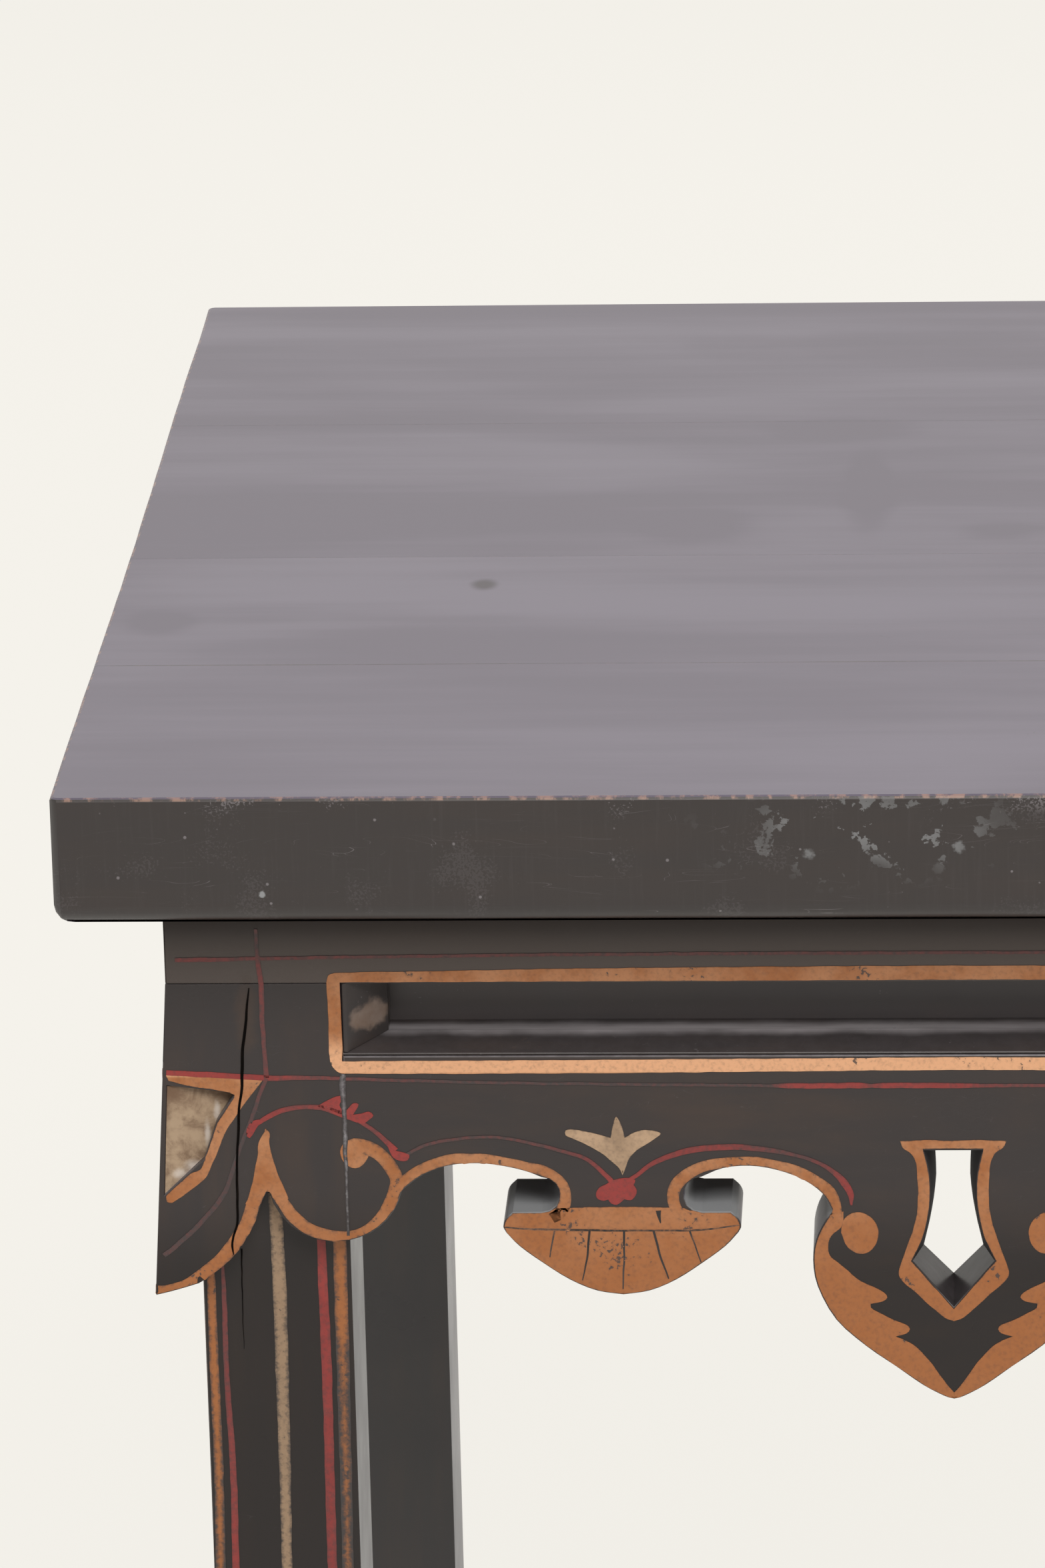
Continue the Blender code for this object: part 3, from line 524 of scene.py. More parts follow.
class Front:
    """Where paint lies on the front: on the wood, a margin inside its cut edges."""

    def __init__(self):
        self.rim = front_rim()
        self.wood = front_wood()
        self.margin = settings().paint.margin

    def depth(self, x, z, deepest):
        """The Y of the wood at a place on the front, or None where there is none that is near enough."""
        hit = self.wood.ray_cast(Vector((x, -1, z)), Vector((0, 1, 0)))[0]
        return hit.y if hit is not None and hit.y < deepest else None

    def is_wood(self, x, z):
        """Whether the front face is at a place, or goes on at both sides of a narrow joint there."""
        def solid(a, b):
            return self.depth(a, b, -apron_face + MM) is not None

        reaches = ((0, 0), (RIM_STEP, 0), (0, RIM_STEP))
        return any(solid(x - side, z - up) and solid(x + side, z + up) for side, up in reaches)

    def on_face(self, x, z):
        """The point on the front face nearest to a place, kept off the cut edges."""
        flat = Vector((x, 0, z))
        near, _, distance = self.rim.find(flat)
        wood = self.is_wood(x, z)
        if not wood or distance < self.margin:
            inwards = flat - near if wood else near - flat
            if inwards.length > 1e-9:
                flat = near + inwards.normalized() * self.margin
        y = self.depth(flat.x, flat.z, -apron_face + MM)
        return Vector((flat.x, -apron_face if y is None else min(y, -apron_face), flat.z))

    def on_shaft(self, x, z):
        """The point on a leg's shaft, which lies behind the face. Nothing keeps it off the edges."""
        y = self.depth(x, z, -apron_face + SHAFT_BACK + MM)
        return Vector((x, -apron_face + SHAFT_BACK if y is None else y, z))


# Brush strokes and filled shapes


def on_front(pair):
    """An (out, drop) pair as X and Z on the left half of the front."""
    return Vector((-pair[0] * MM, apron_top - pair[1] * MM))


def spline(points, values, step):
    """A smooth line through flat points, in even steps, with values that change along it."""
    line, carried = [], []
    last = len(points) - 1
    for i in range(last):
        a, b, c, d = (points[min(max(k, 0), last)] for k in (i - 1, i, i + 1, i + 2))
        length_here = (c - b).length
        lead = (c - a) * length_here / max((b - a).length + length_here, 1e-9)
        tail = (d - b) * length_here / max((d - c).length + length_here, 1e-9)
        count = max(1, math.ceil(length_here / step))
        for j in range(count + (i == last - 1)):
            t = j / count
            square, cube = 3 * (c - b) - 2 * lead - tail, 2 * (b - c) + lead + tail
            line.append(b + lead * t + square * t**2 + cube * t**3)
            carried.append([v[i] + (v[i + 1] - v[i]) * t for v in values])
    return line, carried


class Painter:
    """Collects the strokes and shapes of one colour on the front."""

    def __init__(self, front, coat, edge=0.5):
        self.paint = settings().paint
        self.front, self.edge = front, edge
        self.lift = self.paint.thickness + coat * self.paint.layer
        noise.seed_set(self.paint.seed)
        self.bm = bmesh.new()
        self.bm.verts.layers.float.new("load")
        self.count = 0

    def add(self, bm, mirrored=True):
        """Adds a painted shape, and its mirror image on the right half."""
        self.count += 1
        lift = self.lift + (self.count % LAYERS) * LAYER_RISE
        made = bmesh.ops.extrude_face_region(bm, geom=bm.faces[:])
        for item in made["geom"]:
            if isinstance(item, bmesh.types.BMVert):
                item.co.y -= lift
        if mirrored:
            bmesh.ops.mirror(bm, geom=bm.verts[:] + bm.edges[:] + bm.faces[:], axis="X", merge_dist=1e-7)
        bmesh.ops.recalc_face_normals(bm, faces=bm.faces)
        mesh = bpy.data.meshes.new("stroke")
        bm.to_mesh(mesh)
        bm.free()
        self.bm.from_mesh(mesh)
        bpy.data.meshes.remove(mesh)

    def stroke(self, pairs, widths, loads=None, lean=0.0, mirrored=True, shaft=False):
        """Brushes a band along a line: its width and the paint it carries change on the way.

        With a lean of 1 it lies wholly to the left of the line. A stroke on a shaft isn't kept off the edges.
        """
        loads = loads or (1.0,) * len(pairs)
        step = self.paint.step * (SHAFT_STEP if shaft else 1)
        line, carried = spline([on_front(pair) for pair in pairs], (widths, loads), step)
        placed = self.front.on_shaft if shaft else self.front.on_face
        bm = bmesh.new()
        load = bm.verts.layers.float.new("load")
        bmesh.ops.create_grid(bm, x_segments=len(line) - 1, y_segments=2, size=1)
        for vert in bm.verts:
            i = round((vert.co.x + 1) / 2 * (len(line) - 1))
            ahead = (line[min(i + 1, len(line) - 1)] - line[max(i - 1, 0)]).normalized()
            spot = Vector((line[i].x * SWAY_SCALE, self.count + vert.co.y, line[i].y * SWAY_SCALE))
            width = carried[i][0] * MM
            width *= 1 + self.paint.sway * noise.noise(spot)
            across = width * (vert.co.y + lean) / 2
            vert[load] = carried[i][1] * (self.edge if abs(vert.co.y) > 0.5 else 1)
            at = line[i] + self.stray(line[i]) + Vector((-ahead.y, ahead.x)) * across
            vert.co = placed(at.x, at.y)
        self.add(bm, mirrored)

    def stripes(self, colour_name):
        """Brushes one colour's stripes down a shaft."""
        for name, line, widths, loads in SHAFT_LINES:
            if name == colour_name:
                line += tuple((line[-1][0], drop) for drop in SHAFT_DROPS)
                self.stroke(line, widths + widths[-1:] * len(SHAFT_DROPS), loads, shaft=True)

    def shape(self, *outlines, mirrored=True, worn=True):
        """Fills an outline made of smooth runs, and leaves the others open as holes."""
        bm = bmesh.new()
        layer = bm.verts.layers.float.new("load")
        edges = []
        for runs in outlines:
            loop = []
            for run in runs:
                line, _ = spline([on_front(pair) for pair in run], ((0,) * len(run),), self.paint.step)
                loop += line[:-1]
            verts = [bm.verts.new(self.front.on_face(*(p + self.stray(p)))) for p in loop]
            edges += [bm.edges.new((a, b)) for a, b in zip(verts, verts[1:] + verts[:1]) if a is not b]
        bmesh.ops.triangle_fill(bm, edges=edges, use_beauty=True, use_dissolve=False)
        rim = set(bm.verts)
        if worn and self.edge < WORN_BELOW:
            bmesh.ops.inset_region(bm, faces=bm.faces[:], thickness=self.paint.worn_rim, use_boundary=True)
        for vert in bm.verts:
            vert[layer] = self.edge if worn and vert in rim and vert.is_boundary else 1
        self.add(bm, mirrored)

    def stray(self, point):
        """How far the hand strays from the drawn outline at a point."""
        at = Vector((point.x * STRAY_SCALE, STRAY_LAYER, point.y * STRAY_SCALE))
        return noise.noise_vector(at).xz * self.paint.wobble


def whole_outline(runs):
    """A closed outline from the runs of its left half, which start and end at the table's middle."""
    right = [tuple((-out, drop) for out, drop in reversed(run)) for run in reversed(runs)]
    return tuple(runs) + tuple(right)


def side_pieces(bm, ending, look, sides=SIDES):
    """One painted piece on each side of the table: the front's, turned a quarter at a time."""
    for quarters, side in enumerate(sides):
        mesh = bpy.data.meshes.new(f"{side}_{ending}")
        bm.to_mesh(mesh)
        mesh.transform(Matrix.Rotation(quarters * math.pi / 2, 4, "Z"))
        mesh.materials.append(material(look))
        piece = linked(f"{side}_{ending}", mesh)
        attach(piece, "root")
    bm.free()


# Woodwork: softened copies of the CAD pieces


def flatten(bm, **limits):
    """Joins the triangles of each flat face."""
    bmesh.ops.dissolve_limit(
        bm, angle_limit=FLAT_ANGLE, verts=bm.verts[:], edges=bm.edges[:], use_dissolve_boundaries=False,
        **limits,
    )


def ease(bm, edges, offset):
    """Rounds edges over."""
    bmesh.ops.bevel(
        bm, geom=edges, offset=offset, offset_type="OFFSET", segments=2, profile=0.5, affect="EDGES",
        clamp_overlap=False, material=-1,
    )


def sharp_edges(bm, wanted):
    """The wanted ones of the edges where two faces meet at a clear angle."""
    return [
        e for e in bm.edges
        if len(e.link_faces) == 2 and e.calc_face_angle(0) > SHARP_ANGLE and e.calc_length() > SHORTEST_EASED
        and wanted(e)
    ]


def woodwork_piece(name, bm, *looks, angle=40):
    """Puts a softened copy in the place of its CAD piece.

    It is smooth across the small steps of a curve, plain on flat faces, and sharp at real edges.
    """
    mesh = bpy.data.meshes.new(name + "_finish")
    bm.to_mesh(mesh)
    bm.free()
    stale = mesh.attributes.get("custom_normal")
    if stale:
        mesh.attributes.remove(stale)
    for look in looks:
        mesh.materials.append(material(look))
    mesh.set_sharp_from_angle(angle=math.radians(angle))
    for face in mesh.polygons:
        face.use_smooth = max(map(abs, face.normal)) < 0.9999
    piece = linked(name + "_finish", mesh)
    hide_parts(name)
    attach(piece, "root")
    even = piece.modifiers.new("Even shading", "WEIGHTED_NORMAL")
    even.keep_sharp = True


def outside(edge):
    """Whether an edge lies on the outside of the frame, where it shows and is worn."""
    middle = (edge.verts[0].co + edge.verts[1].co) / 2
    return max(abs(middle.x), abs(middle.y)) > apron_face - 0.6 * MM


def is_scoop(face):
    """Whether a face is the floor of a scoop on a post: it alone turns towards the leaf."""
    middle, normal = face.calc_center_median(), face.normal
    if not SCOOP_DROPS[0] < apron_top - middle.z < SCOOP_DROPS[1]:
        return False
    for a, b in ((0, 1), (1, 0)):
        far = abs(middle[a]) > apron_face - 30 * MM and abs(middle[b]) > apron_face - 8 * MM
        if far and abs(normal[b]) > 0.9 and normal[a] * middle[a] < 0 and abs(normal[a]) > 0.1:
            return True
    return False


# Shader helpers


def node(tree, kind, inputs=None, **attributes):
    """Adds a node, and returns its outputs. An input that comes from a node is linked, any other is set."""
    made = tree.nodes.new(kind)
    for key, value in attributes.items():
        setattr(made, key, value)
    for key, value in (inputs or {}).items():
        value = getattr(value, "socket", value)
        if isinstance(value, bpy.types.NodeSocket):
            tree.links.new(value, made.inputs[key])
        else:
            made.inputs[key].default_value = value
    return made.outputs


class Value:
    """A number, vector or colour inside a shader. Arithmetic on it adds nodes."""

    def __init__(self, socket):
        self.socket = socket
        self.tree = socket.id_data

    def maths(self, operation, first, second=0.0):
        """One step of arithmetic on numbers."""
        return Value(node(self.tree, "ShaderNodeMath", {0: first, 1: second}, operation=operation)[0])

    def __add__(self, other):
        return self.maths("ADD", self, other)

    def __sub__(self, other):
        return self.maths("SUBTRACT", self, other)

    def __rsub__(self, other):
        return self.maths("SUBTRACT", other, self)

    def __mul__(self, other):
        return self.maths("MULTIPLY", self, other)

    def __truediv__(self, other):
        return self.maths("DIVIDE", self, other)

    def __abs__(self):
        return self.maths("ABSOLUTE", self)

    def most(self, other):
        """The larger of two numbers."""
        return self.maths("MAXIMUM", self, other)

    def clamped(self):
        """The result of the last step of arithmetic, kept between 0 and 1."""
        self.socket.node.use_clamp = True
        return self

    def vectors(self, operation, other=(0, 0, 0), output="Vector"):
        """One step of arithmetic on a vector."""
        outputs = node(self.tree, "ShaderNodeVectorMath", {0: self, 1: other}, operation=operation)
        return Value(outputs[output])

    def axes(self):
        """The three coordinates of a vector."""
        return [Value(socket) for socket in node(self.tree, "ShaderNodeSeparateXYZ", {0: self})]

    def ramp(self, low, high, start=0.0, end=1.0):
        """Goes smoothly from start to end while the value goes from low to high."""
        inputs = {"Value": self, "From Min": low, "From Max": high, "To Min": start, "To Max": end}
        return Value(node(self.tree, "ShaderNodeMapRange", inputs, interpolation_type="SMOOTHSTEP")[0])

    def hill(self, foot, brow, edge, end, left=0.0):
        """Rises to 1 from foot to brow, and falls to what is left from edge to end."""
        return self.ramp(foot, brow) * self.ramp(edge, end, 1, left)

    def scaled(self, scale, turned=(0, 0, 0), moved=(0, 0, 0)):
        """A pattern's coordinates, turned, moved and stretched."""
        inputs = {"Vector": self, "Scale": scale, "Rotation": turned, "Location": moved}
        return Value(node(self.tree, "ShaderNodeMapping", inputs)[0])

    def cloud(self, scale, detail, roughness=0.6, distortion=0.0):
        """Soft noise between 0 and 1."""
        return Value(node(self.tree, "ShaderNodeTexNoise", {
            "Vector": self, "Scale": scale, "Detail": detail, "Roughness": roughness, "Distortion": distortion,
        })[0])

    def mask(self, name, **inputs):
        """The mask of one of the shared effects."""
        named = {key.replace("_", " ").capitalize(): value for key, value in inputs.items()}
        outputs = node(self.tree, "ShaderNodeGroup", {"Vector": self, **named}, node_tree=effect(name))
        return Value(outputs["Mask"])


def blend(share, first, second):
    """The colour first where share is 0, and second where it is 1."""
    return Value(node(share.tree, "ShaderNodeMix", {0: share, 6: first, 7: second}, data_type="RGBA")[2])


def blend_number(share, first, second):
    """The number first where share is 0, and second where it is 1."""
    return Value(node(share.tree, "ShaderNodeMix", {0: share, 2: first, 3: second}, data_type="FLOAT")[0])


def facing(at):
    """The three coordinates of the way that the surface faces."""
    return Value(node(at.tree, "ShaderNodeNewGeometry")["Normal"]).axes()


def specks(at, scale, drift, amount):
    """Small irregular specks, gathered in drifts."""
    reach = at.cloud(drift, 2, 0.5).ramp(0.35, 0.75) * amount
    return (at.cloud(scale, 5, 0.6, 0.4) - (0.86 - reach * 0.42)).ramp(0, 0.035)


def scratches(at, scale, width):
    """Fine broken scratches that run roughly one way."""
    inputs = {"Vector": at.vectors("ADD", at.cloud(9, 2, 0.5)), "Scale": scale, "Randomness": 1}
    cells = Value(node(at.tree, "ShaderNodeTexVoronoi", inputs, feature="DISTANCE_TO_EDGE")["Distance"])
    return cells.ramp(0, width, 1, 0) * at.cloud(23, 3).ramp(0.5, 0.66)


def spot(at, centre, size, core, raggedness, ragged_scale):
    """A soft spot round a centre, with an uneven edge."""
    away = at.vectors("SUBTRACT", centre).vectors("DIVIDE", size).vectors("LENGTH", output="Value")
    edge = away + (at.cloud(ragged_scale, 3, 0.55) - 0.5) * raggedness
    return edge.ramp(core, 1, 1, 0)


def spots(at, scale, share, radius, ragged_scale):
    """Scattered single spots of uneven size and outline."""
    cells = node(at.tree, "ShaderNodeTexVoronoi", {"Vector": at, "Scale": scale})
    chance, growth, _ = Value(cells["Color"]).axes()
    edge = Value(cells["Distance"]) + (at.cloud(ragged_scale, 3) - 0.5) * radius
    edge = edge / (radius * (growth + 0.4))
    return edge.ramp(0.5, 1, 1, 0) * chance.ramp(share, share + 0.02, 1, 0)


EFFECTS = {
    # name: what builds it, and its inputs with their defaults
    "specks": (specks, {"Scale": 400.0, "Drift": 12.0, "Amount": 0.5}),
    "scratches": (scratches, {"Scale": 30.0, "Width": 0.01}),
    "spots": (spots, {"Scale": 45.0, "Share": 0.3, "Radius": 0.06, "Ragged scale": 700.0}),
    "spot": (spot, {"Centre": (0.0, 0.0, 0.0), "Size": (0.01, 0.01, 0.01), "Core": 0.5, "Raggedness": 0.4,
                    "Ragged scale": 60.0}),
}


def effect(name):
    """An effect's node group by its name. It is built the first time that it is asked for."""
    if name not in bpy.data.node_groups:
        build, inputs = EFFECTS[name]
        tree = bpy.data.node_groups.new(name, "ShaderNodeTree")
        tree.interface.new_socket("Vector", in_out="INPUT", socket_type="NodeSocketVector")
        for label, default in inputs.items():
            kind = "NodeSocketVector" if isinstance(default, tuple) else "NodeSocketFloat"
            tree.interface.new_socket(label, in_out="INPUT", socket_type=kind).default_value = default
        tree.interface.new_socket("Mask", in_out="OUTPUT", socket_type="NodeSocketFloat")
        given = node(tree, "NodeGroupInput")
        mask = build(*(Value(given[label]) for label in ("Vector", *inputs)))
        node(tree, "NodeGroupOutput", {"Mask": mask})
    return bpy.data.node_groups[name]


def finish_material(base, roughness, height, bump=0.3, distance=0.0002, shine=0.5, coat=0.0):
    """Ends a material in a Principled shader with a bump."""
    tree = base.tree
    normal = node(tree, "ShaderNodeBump", {"Strength": bump, "Distance": distance, "Height": height})[0]
    shader = node(tree, "ShaderNodeBsdfPrincipled", {
        "Base Color": base, "Roughness": roughness, "Normal": normal,
        "Specular IOR Level": shine, "Coat Weight": coat, "Coat Roughness": 0.3,
    })
    node(tree, "ShaderNodeOutputMaterial", {"Surface": shader[0]})


# Materials

# The larger spots along the sides of the top: scale, share of the places, radius, colour
EDGE_SPOTS = (
    (42, 0.42, 0.055, "fleck_and_light"), (60, 0.18, 0.05, "arris"), (95, 0.3, 0.06, "dust_and_sheen"), (150, 0.3, 0.09, "dust_and_sheen"),
)
# Pale chalk and painted highlights in the scoops, in millimetres: its place, and how far it reaches
CHALK_AND_HIGHLIGHT_MARKS = (
    ((-317.2, 50.2), (5, 3.6)), ((-312, 47.2), (5.5, 4)), ((-305.6, 34), (1.8, 8)), ((-301.4, 24.5), (2, 7)),
)


def off(start, *steps):
    """Places that lie some millimetres off a known one."""
    return [start + step * MM for step in steps]


def dusted_and_lit(at, base, share):
    """Dust and painted light on the faces that look up: they are painted paler."""
    lying = facing(at)[2].ramp(0.15, 0.9) * at.cloud(170, 5, 0.65).ramp(0.3, 0.7, 0.55, 1)
    return blend(lying * share, base, settings().colours.dust_and_sheen)


def lacquer_layers(at, colours, grain, wear=0.5):
    """What all black lacquer shares: its colour, roughness and height."""
    streaks = at.scaled(grain).cloud(1, 5)
    blotches = at.cloud(14, 4)
    base = blend(streaks.ramp(0.35, 0.75, 0, 0.55), colours.lacquer, colours.lacquer_worn)
    base = blend(blotches.ramp(0.3, 0.62), colours.lacquer, base)
    chips = at.mask("specks", scale=330, drift=22, amount=wear)
    base = blend(chips * 0.5, base, colours.lacquer_worn)
    moved = at.scaled((1, 1, 1), moved=(3, 1, 2))
    lines = at.scaled((1.6, 1, 7), turned=(0.3, 0.5, 0.2)).mask("scratches", scale=26, width=0.006)
    for marks, strength in (
        (moved.mask("specks", scale=620, drift=30, amount=wear * 0.8), 0.35),
        (moved.mask("spots", scale=38, share=wear * 0.35, radius=0.045), 0.55),
        (lines, 0.22),
    ):
        base = blend(marks * strength, base, colours.dust_and_sheen)
    roughness = blotches.ramp(0.3, 0.7, 0.27, 0.36) + chips * 0.2
    height = streaks * 0.7 + at.cloud(900, 3) * 0.3 - chips * 0.8
    return base, roughness, height


def black_lacquer(at, colours, grain):
    """Black lacquer on the legs, rails and aprons: dust and painted light lie on what faces up."""
    base, roughness, height = lacquer_layers(at, colours, grain)
    base = dusted_and_lit(at, base, 1)
    x, y, high = at.axes()
    over_x, over_y, up = facing(at)
    # Painted light on the shoulders that the posts end in, where they face up, and a painted reflection on the
    # legs' inner sides
    shoulder = high.hill(*off(apron_top, -73, -70, -62, -60))
    base = blend(shoulder * up.ramp(0.05, 0.5) * 0.9, base, colours.fleck_and_light)
    inner = abs(x).ramp(*off(post_inside, 1, 1.5), 1, 0) * abs(over_x).ramp(0.8, 0.95, 0, 0.45)
    base = blend(inner, base, colours.haze_and_sheen)
    # Painted shade makes the front legs darker below the apron, and painted light makes the back ones a little
    # paler
    lower = high.ramp(*off(apron_top, -100, -55), 1, 0)
    base = blend(lower * y.ramp(-0.1, 0.1, 0.6, 0), base, colours.ink_and_shade)
    base = blend(lower * y.ramp(-0.1, 0.1, 0, 0.14), base, colours.fleck_and_light)
    # The side walls of the vase-shaped holes lie in shadow
    for along, over in ((x, over_x), (y, over_y)):
        hollow = abs(along).ramp(*off(0, 17.5, 18), 1, 0) * abs(over).ramp(0.8, 0.92, 0, 0.85)
        base = blend(hollow, base, colours.ink_and_shade)
        roughness = (roughness + hollow * 0.6).clamped()
    # Painted shadow of the top's overhang, darkest just under the top, and the rails rubbed thin below it
    shade_under_top = high.ramp(*off(under_rail, 13, 31), 0, 0.93)
    base = blend(shade_under_top, base, colours.ink_and_shade)
    roughness = (roughness + shade_under_top * 0.5).clamped()
    rubbed = high.hill(*off(under_rail, -1, 1, 14, 24), 0.35)
    base = blend(rubbed, base, colours.rail_worn)
    centre = (-288 * MM, -apron_face, apron_top + 18 * MM)
    stain = at.mask("spot", centre=centre, size=(0.006, 0.03, 0.022), core=0.2, raggedness=0.8,
                    ragged_scale=160)
    base = blend(stain * 0.75, base, colours.lacquer_worn)
    finish_material(base, roughness, height, shine=0.28)


def slot_lacquer(at, colours):
    """Lacquer in the slots: dust and painted light lie on what faces up, and a worn patch shows at the front
    left end.
    """
    base, roughness, height = lacquer_layers(at, colours, (8, 60, 60), 0.7)
    base = dusted_and_lit(at, base, 0.12)
    x, y, _ = at.axes()
    up = facing(at)[2]
    far = abs(x).most(abs(y)) + (at.cloud(40, 3, 0.5) - 0.5) * (7 * MM)
    deep = apron_face - slot_back
    # Painted highlight along the ledge in the slots, where light catches it
    ledge = far.hill(*(slot_back + share * deep for share in (0.02, 0.36, 0.36, 0.62)))
    ledge *= at.scaled((14, 160, 160)).cloud(1, 4).ramp(0.3, 0.62, 0.62, 1) * up.ramp(0.1, 0.5)
    base = blend(ledge, base, colours.bloom_and_highlight)
    # Painted light: the back panels of the slots are painted a little paler
    upright = up.ramp(0.05, 0.3, 0.16, 0) * far.ramp(slot_back + 0.05 * deep, slot_back + 0.3 * deep, 1, 0)
    base = blend(upright, base, colours.bloom_and_highlight)
    centre = (-(post_inside - 9 * MM), -apron_face + 12 * MM, apron_top + 14.5 * MM)
    patch = at.mask("spot", centre=centre, size=(0.01, 0.022, 0.0085), core=0.6, raggedness=1.3,
                    ragged_scale=120) * 0.8
    base = blend(patch, base, blend(at.cloud(130, 4), colours.gesso_stain, colours.slot_worn))
    finish_material(base, (roughness + patch * 0.3).clamped(), height, bump=0.4, shine=0.3)


def top_lacquer(at, colours):
    """Lacquer on the top: hazy and smudged above, chipped and flecked along its edge. Its pale haze is partly
    real haze and partly painted reflection.
    """
    base, roughness, height = lacquer_layers(at, colours, (5, 70, 70), 0.55)
    up = facing(at)[2]
    upper = up.ramp(0.35, 0.8)
    haze_and_sheen = at.scaled((1.2, 4.5, 1)).cloud(2.4, 4, 0.5, 0.3) * 0.7 + at.scaled((4, 70, 1)).cloud(1, 5) * 0.25
    haze_and_sheen = haze_and_sheen.ramp(0.32, 0.66)
    for (x, y), (wide, long), dark in TOP_SMUDGES:
        centre, size = (x * MM, y * MM, table_top), (wide * MM, long * MM, 0.05)
        smudge = at.mask("spot", centre=centre, size=size, core=0.05, raggedness=0.7, ragged_scale=22)
        haze_and_sheen = (haze_and_sheen - smudge * dark).clamped()
    x, y, _ = at.axes()
    dull = y.hill(*off(0, -45, -43, 20, 80)) * x.ramp(*off(0, -190, -60), 0.55, 0)
    # Painted reflection: the haze is paler towards the front and darker towards the back
    haze_and_sheen = ((haze_and_sheen - dull).clamped() + y.ramp(-table_half, table_half, 0.16, -0.12)).clamped()
    # Real haze and painted reflection make what faces up pale
    base = blend(upper * 0.85, base, blend(haze_and_sheen, colours.haze_and_sheen_low, colours.haze_and_sheen))
    centre = (-201 * MM, -84 * MM, table_top)
    knot = at.mask("spot", centre=centre, size=(0.0075, 0.0105, 0.02), core=0.3, raggedness=0.35,
                   ragged_scale=90)
    base = blend(knot * 0.8, base, colours.lacquer)
    joint = abs(y + 192 * MM).ramp(*off(0, 0.3, 0.7), 1, 0)
    base = blend(joint * at.scaled((9, 0.01, 1)).cloud(1, 3).ramp(0.4, 0.6, 0.15, 0.8), base, colours.lacquer)
    base = edge_wear(at, colours, base, up)
    marks = at.scaled((1, 6, 1), turned=(0, 0, 0.12)).mask("scratches", scale=7, width=0.003)
    base = blend(marks * 0.35, base, colours.lacquer)
    roughness = blend_number(upper, roughness, haze_and_sheen.ramp(0, 1, 0.45, 0.38))
    finish_material(base, (roughness + knot * 0.15).clamped(), height, bump=0.2, coat=0.25)


def edge_wear(at, colours, base, up):
    """Rubbed arris, dusty specks, pale spots and long scratches along the sides of the top."""
    high = at.axes()[2]
    side = up.ramp(0.2, 0.6, 1, 0)
    # Painted shade: the sides of the top are painted darker
    base = blend(side * 0.7, base, colours.side_shade)
    upper_band = high.ramp(*off(table_top, -9, -2)) + 0.18
    dusty = at.mask("specks", scale=900, drift=34, amount=1) * side * upper_band
    base = blend(dusty * 0.5, base, colours.dust_and_sheen)
    hatching = at.scaled((500, 500, 30)).cloud(1, 3).ramp(0.5, 0.8)
    base = blend(hatching * (side * 0.035), base, colours.dust_and_sheen)
    lines = at.scaled((1, 1, 9), turned=(0.06, 0.08, 0)).mask("scratches", scale=9, width=0.004)
    base = blend(lines * side * 0.8, base, colours.dust_and_sheen)
    for scale, share, radius, tone in EDGE_SPOTS:
        pale = at.mask("spots", scale=scale, share=share, radius=radius)
        base = blend(pale * side * 0.7, base, getattr(colours, tone))
    centre = (-35 * MM, -table_half, table_top - 14 * MM)
    cluster = at.mask("spot", centre=centre, size=(0.075, 0.03, 0.026), core=0.1, raggedness=0.9,
                      ragged_scale=38)
    blobs = at.mask("spots", scale=85, share=0.55, radius=0.3, ragged_scale=500)
    bloom_and_highlight = (at.mask("specks", scale=330, drift=75, amount=1.2) * 0.7).most(blobs)
    base = blend(cluster * bloom_and_highlight * side * 0.62, base, colours.fleck_and_light)
    arris = high.ramp(*off(table_top, -1.6, -0.9)) * up.ramp(0.93, 0.995, 1, 0)
    bare = at.scaled((1, 1, 0.2)).cloud(170, 5, 0.65).ramp(0.47, 0.6)
    return blend(arris * bare * 0.5, base, colours.arris)


def paint(at, colours, main, second, wear, roughness=0.5, deepens=0.0, bright=None, solid=(-0.16, 0.26),
          ground="lacquer"):
    """Hand-brushed paint: it thins out where the brush carried little, and is rubbed off in specks."""
    main, second, ground = (getattr(colours, name) for name in (main, second, ground))
    load = Value(node(at.tree, "ShaderNodeAttribute", attribute_name="load")["Fac"])
    tone, grit = at.cloud(55, 4), at.cloud(520, 4, 0.65)
    high = at.axes()[2]
    body = blend(tone.ramp(0.32, 0.68), main, second)
    # Darker lower down: partly the paint's own tone and partly painted shade
    body = blend(high.ramp(*off(apron_top, -110, -38), deepens, 0), body, second)
    # Thicker paint and a painted highlight: the gold just under the slots is painted brighter
    if bright:
        under_slot = high.hill(*off(apron_top, -8.5, -6.5, 0, 12))
        body = blend(under_slot, body, getattr(colours, bright))
    body = blend(grit.ramp(0.42, 0.8, 0, 0.35), body, colours.lacquer)
    cover = (load * 0.95 - (grit * 0.55 + tone * 0.25)).ramp(*solid)
    cover *= 1 - at.mask("specks", scale=520, drift=40, amount=wear) * 0.85
    rough = grit.ramp(0.2, 0.8, roughness - 0.08, roughness + 0.1)
    finish_material(blend(cover, ground, body), rough, grit * 0.5 + cover * 0.5)


def dark_crack(at, colours):
    """Painted shadow: the crack in a leg is a dark stroke, and its near-black colour stands for the shade
    inside it.
    """
    fibres = at.scaled((900, 900, 90)).cloud(1, 4)
    base = blend(fibres.ramp(0.5, 0.75), colours.crack, colours.crack_lit)
    finish_material(base, fibres.ramp(0.3, 0.7, 0.85, 1), fibres, bump=0.6, shine=0.05)


